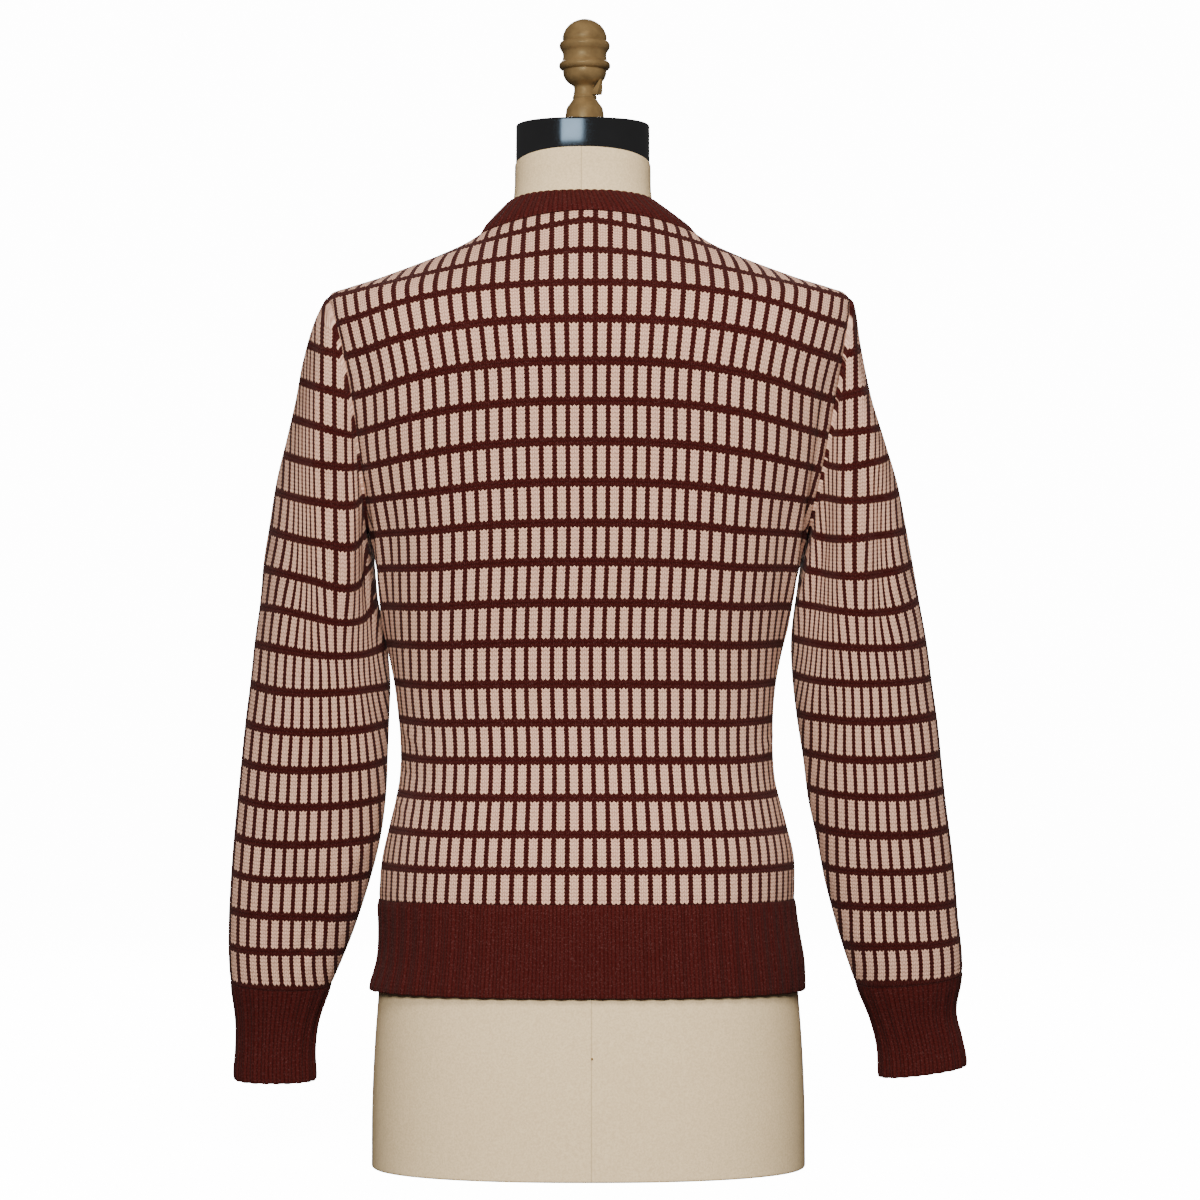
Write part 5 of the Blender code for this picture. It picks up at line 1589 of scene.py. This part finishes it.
# Each lamp's place and aim in metres, its width and height, its watts and its colour.
LAMPS = {
    "key": ((0.2, 3.6, 1.3), (0.0, 0.0, 0.48), (0.9, 0.8), 205.0, (1.0, 0.995, 0.99)),
    "top": ((-0.25, 2.7, 2.6), (0.0, 0.0, 0.5), (1.1, 0.9), 120.0, (1.0, 0.99, 0.97)),
    "front": ((0.0, -2.8, 1.7), (0.0, 0.0, 0.45), (1.4, 1.2), 75.0, (1.0, 0.99, 0.97)),
    "window": ((0.75, 3.3, 1.45), (0.0, 0.0, 0.8), (1.5, 1.1), 12.0, (0.55, 0.78, 1.0)),
}
WORLD_STRENGTH = 0.06
SWEEP_STEPS = 16
CAMERA_PLACE = (-0.009, 3.0, 0.3315)
CAMERA_LENS = 115.4
CAMERA_SHIFT = 0.1167


def sweep(name, material):
    """A pale floor that turns up into a backdrop behind the object."""
    half, near, far, radius, top = 9.0, 9.0, -8.0, 1.4, 7.0
    profile = [(near, 0.0), (far + radius, 0.0)]
    for turn in np.linspace(0, math.pi / 2, SWEEP_STEPS + 1)[1:]:
        profile.append((far + radius - radius * math.sin(turn), radius - radius * math.cos(turn)))
    profile.append((far, top))
    points = [(side * half, depth, height) for depth, height in profile for side in (-1, 1)]
    faces = [(2 * n, 2 * n + 1, 2 * n + 3, 2 * n + 2) for n in range(len(profile) - 1)]
    mesh = bpy.data.meshes.new(name)
    mesh.from_pydata(points, [], faces)
    mesh.shade_smooth()
    mesh.materials.append(material)
    item = add_object(name, mesh)
    return item


def area_light(name, place, target, size, power, colour):
    """A soft rectangular light aimed at a point."""
    light = bpy.data.lights.new(name, "AREA")
    light.shape = "RECTANGLE"
    light.size, light.size_y = size
    light.energy = power
    light.color = colour
    item = add_object(name, light)
    item.location = place
    aim = np.array(target) - np.array(place)
    item.rotation_mode = "QUATERNION"
    item.rotation_quaternion = Vector(aim.tolist()).to_track_quat("-Z", "Y")
    return item


floor = sweep("floor", paper_material())
floor.visible_diffuse = False
floor.visible_glossy = False
floor.visible_shadow = False
lamps = {name: area_light(name, *lamp) for name, lamp in LAMPS.items()}
for name in ("key", "top"):
    lamps[name].visible_glossy = False
lamps["window"].visible_diffuse = False
metal_only = bpy.data.collections.new("lit by the window")
for part in (cap, knob, pin, catch):
    metal_only.objects.link(part)
lamps["window"].light_linking.receiver_collection = metal_only

world = bpy.data.worlds.new("studio")
world.use_nodes = True
world.node_tree.nodes["Background"].inputs["Color"].default_value = (1.0, 1.0, 1.0, 1.0)
world.node_tree.nodes["Background"].inputs["Strength"].default_value = WORLD_STRENGTH
bpy.context.scene.world = world

camera_data = bpy.data.cameras.new("camera")
camera_data.sensor_width = 36.0
camera_data.lens = CAMERA_LENS
camera_data.shift_y = CAMERA_SHIFT
camera = add_object("camera", camera_data)
camera.location = CAMERA_PLACE
camera.rotation_euler = (math.pi / 2, 0.0, math.pi)
bpy.context.scene.camera = camera
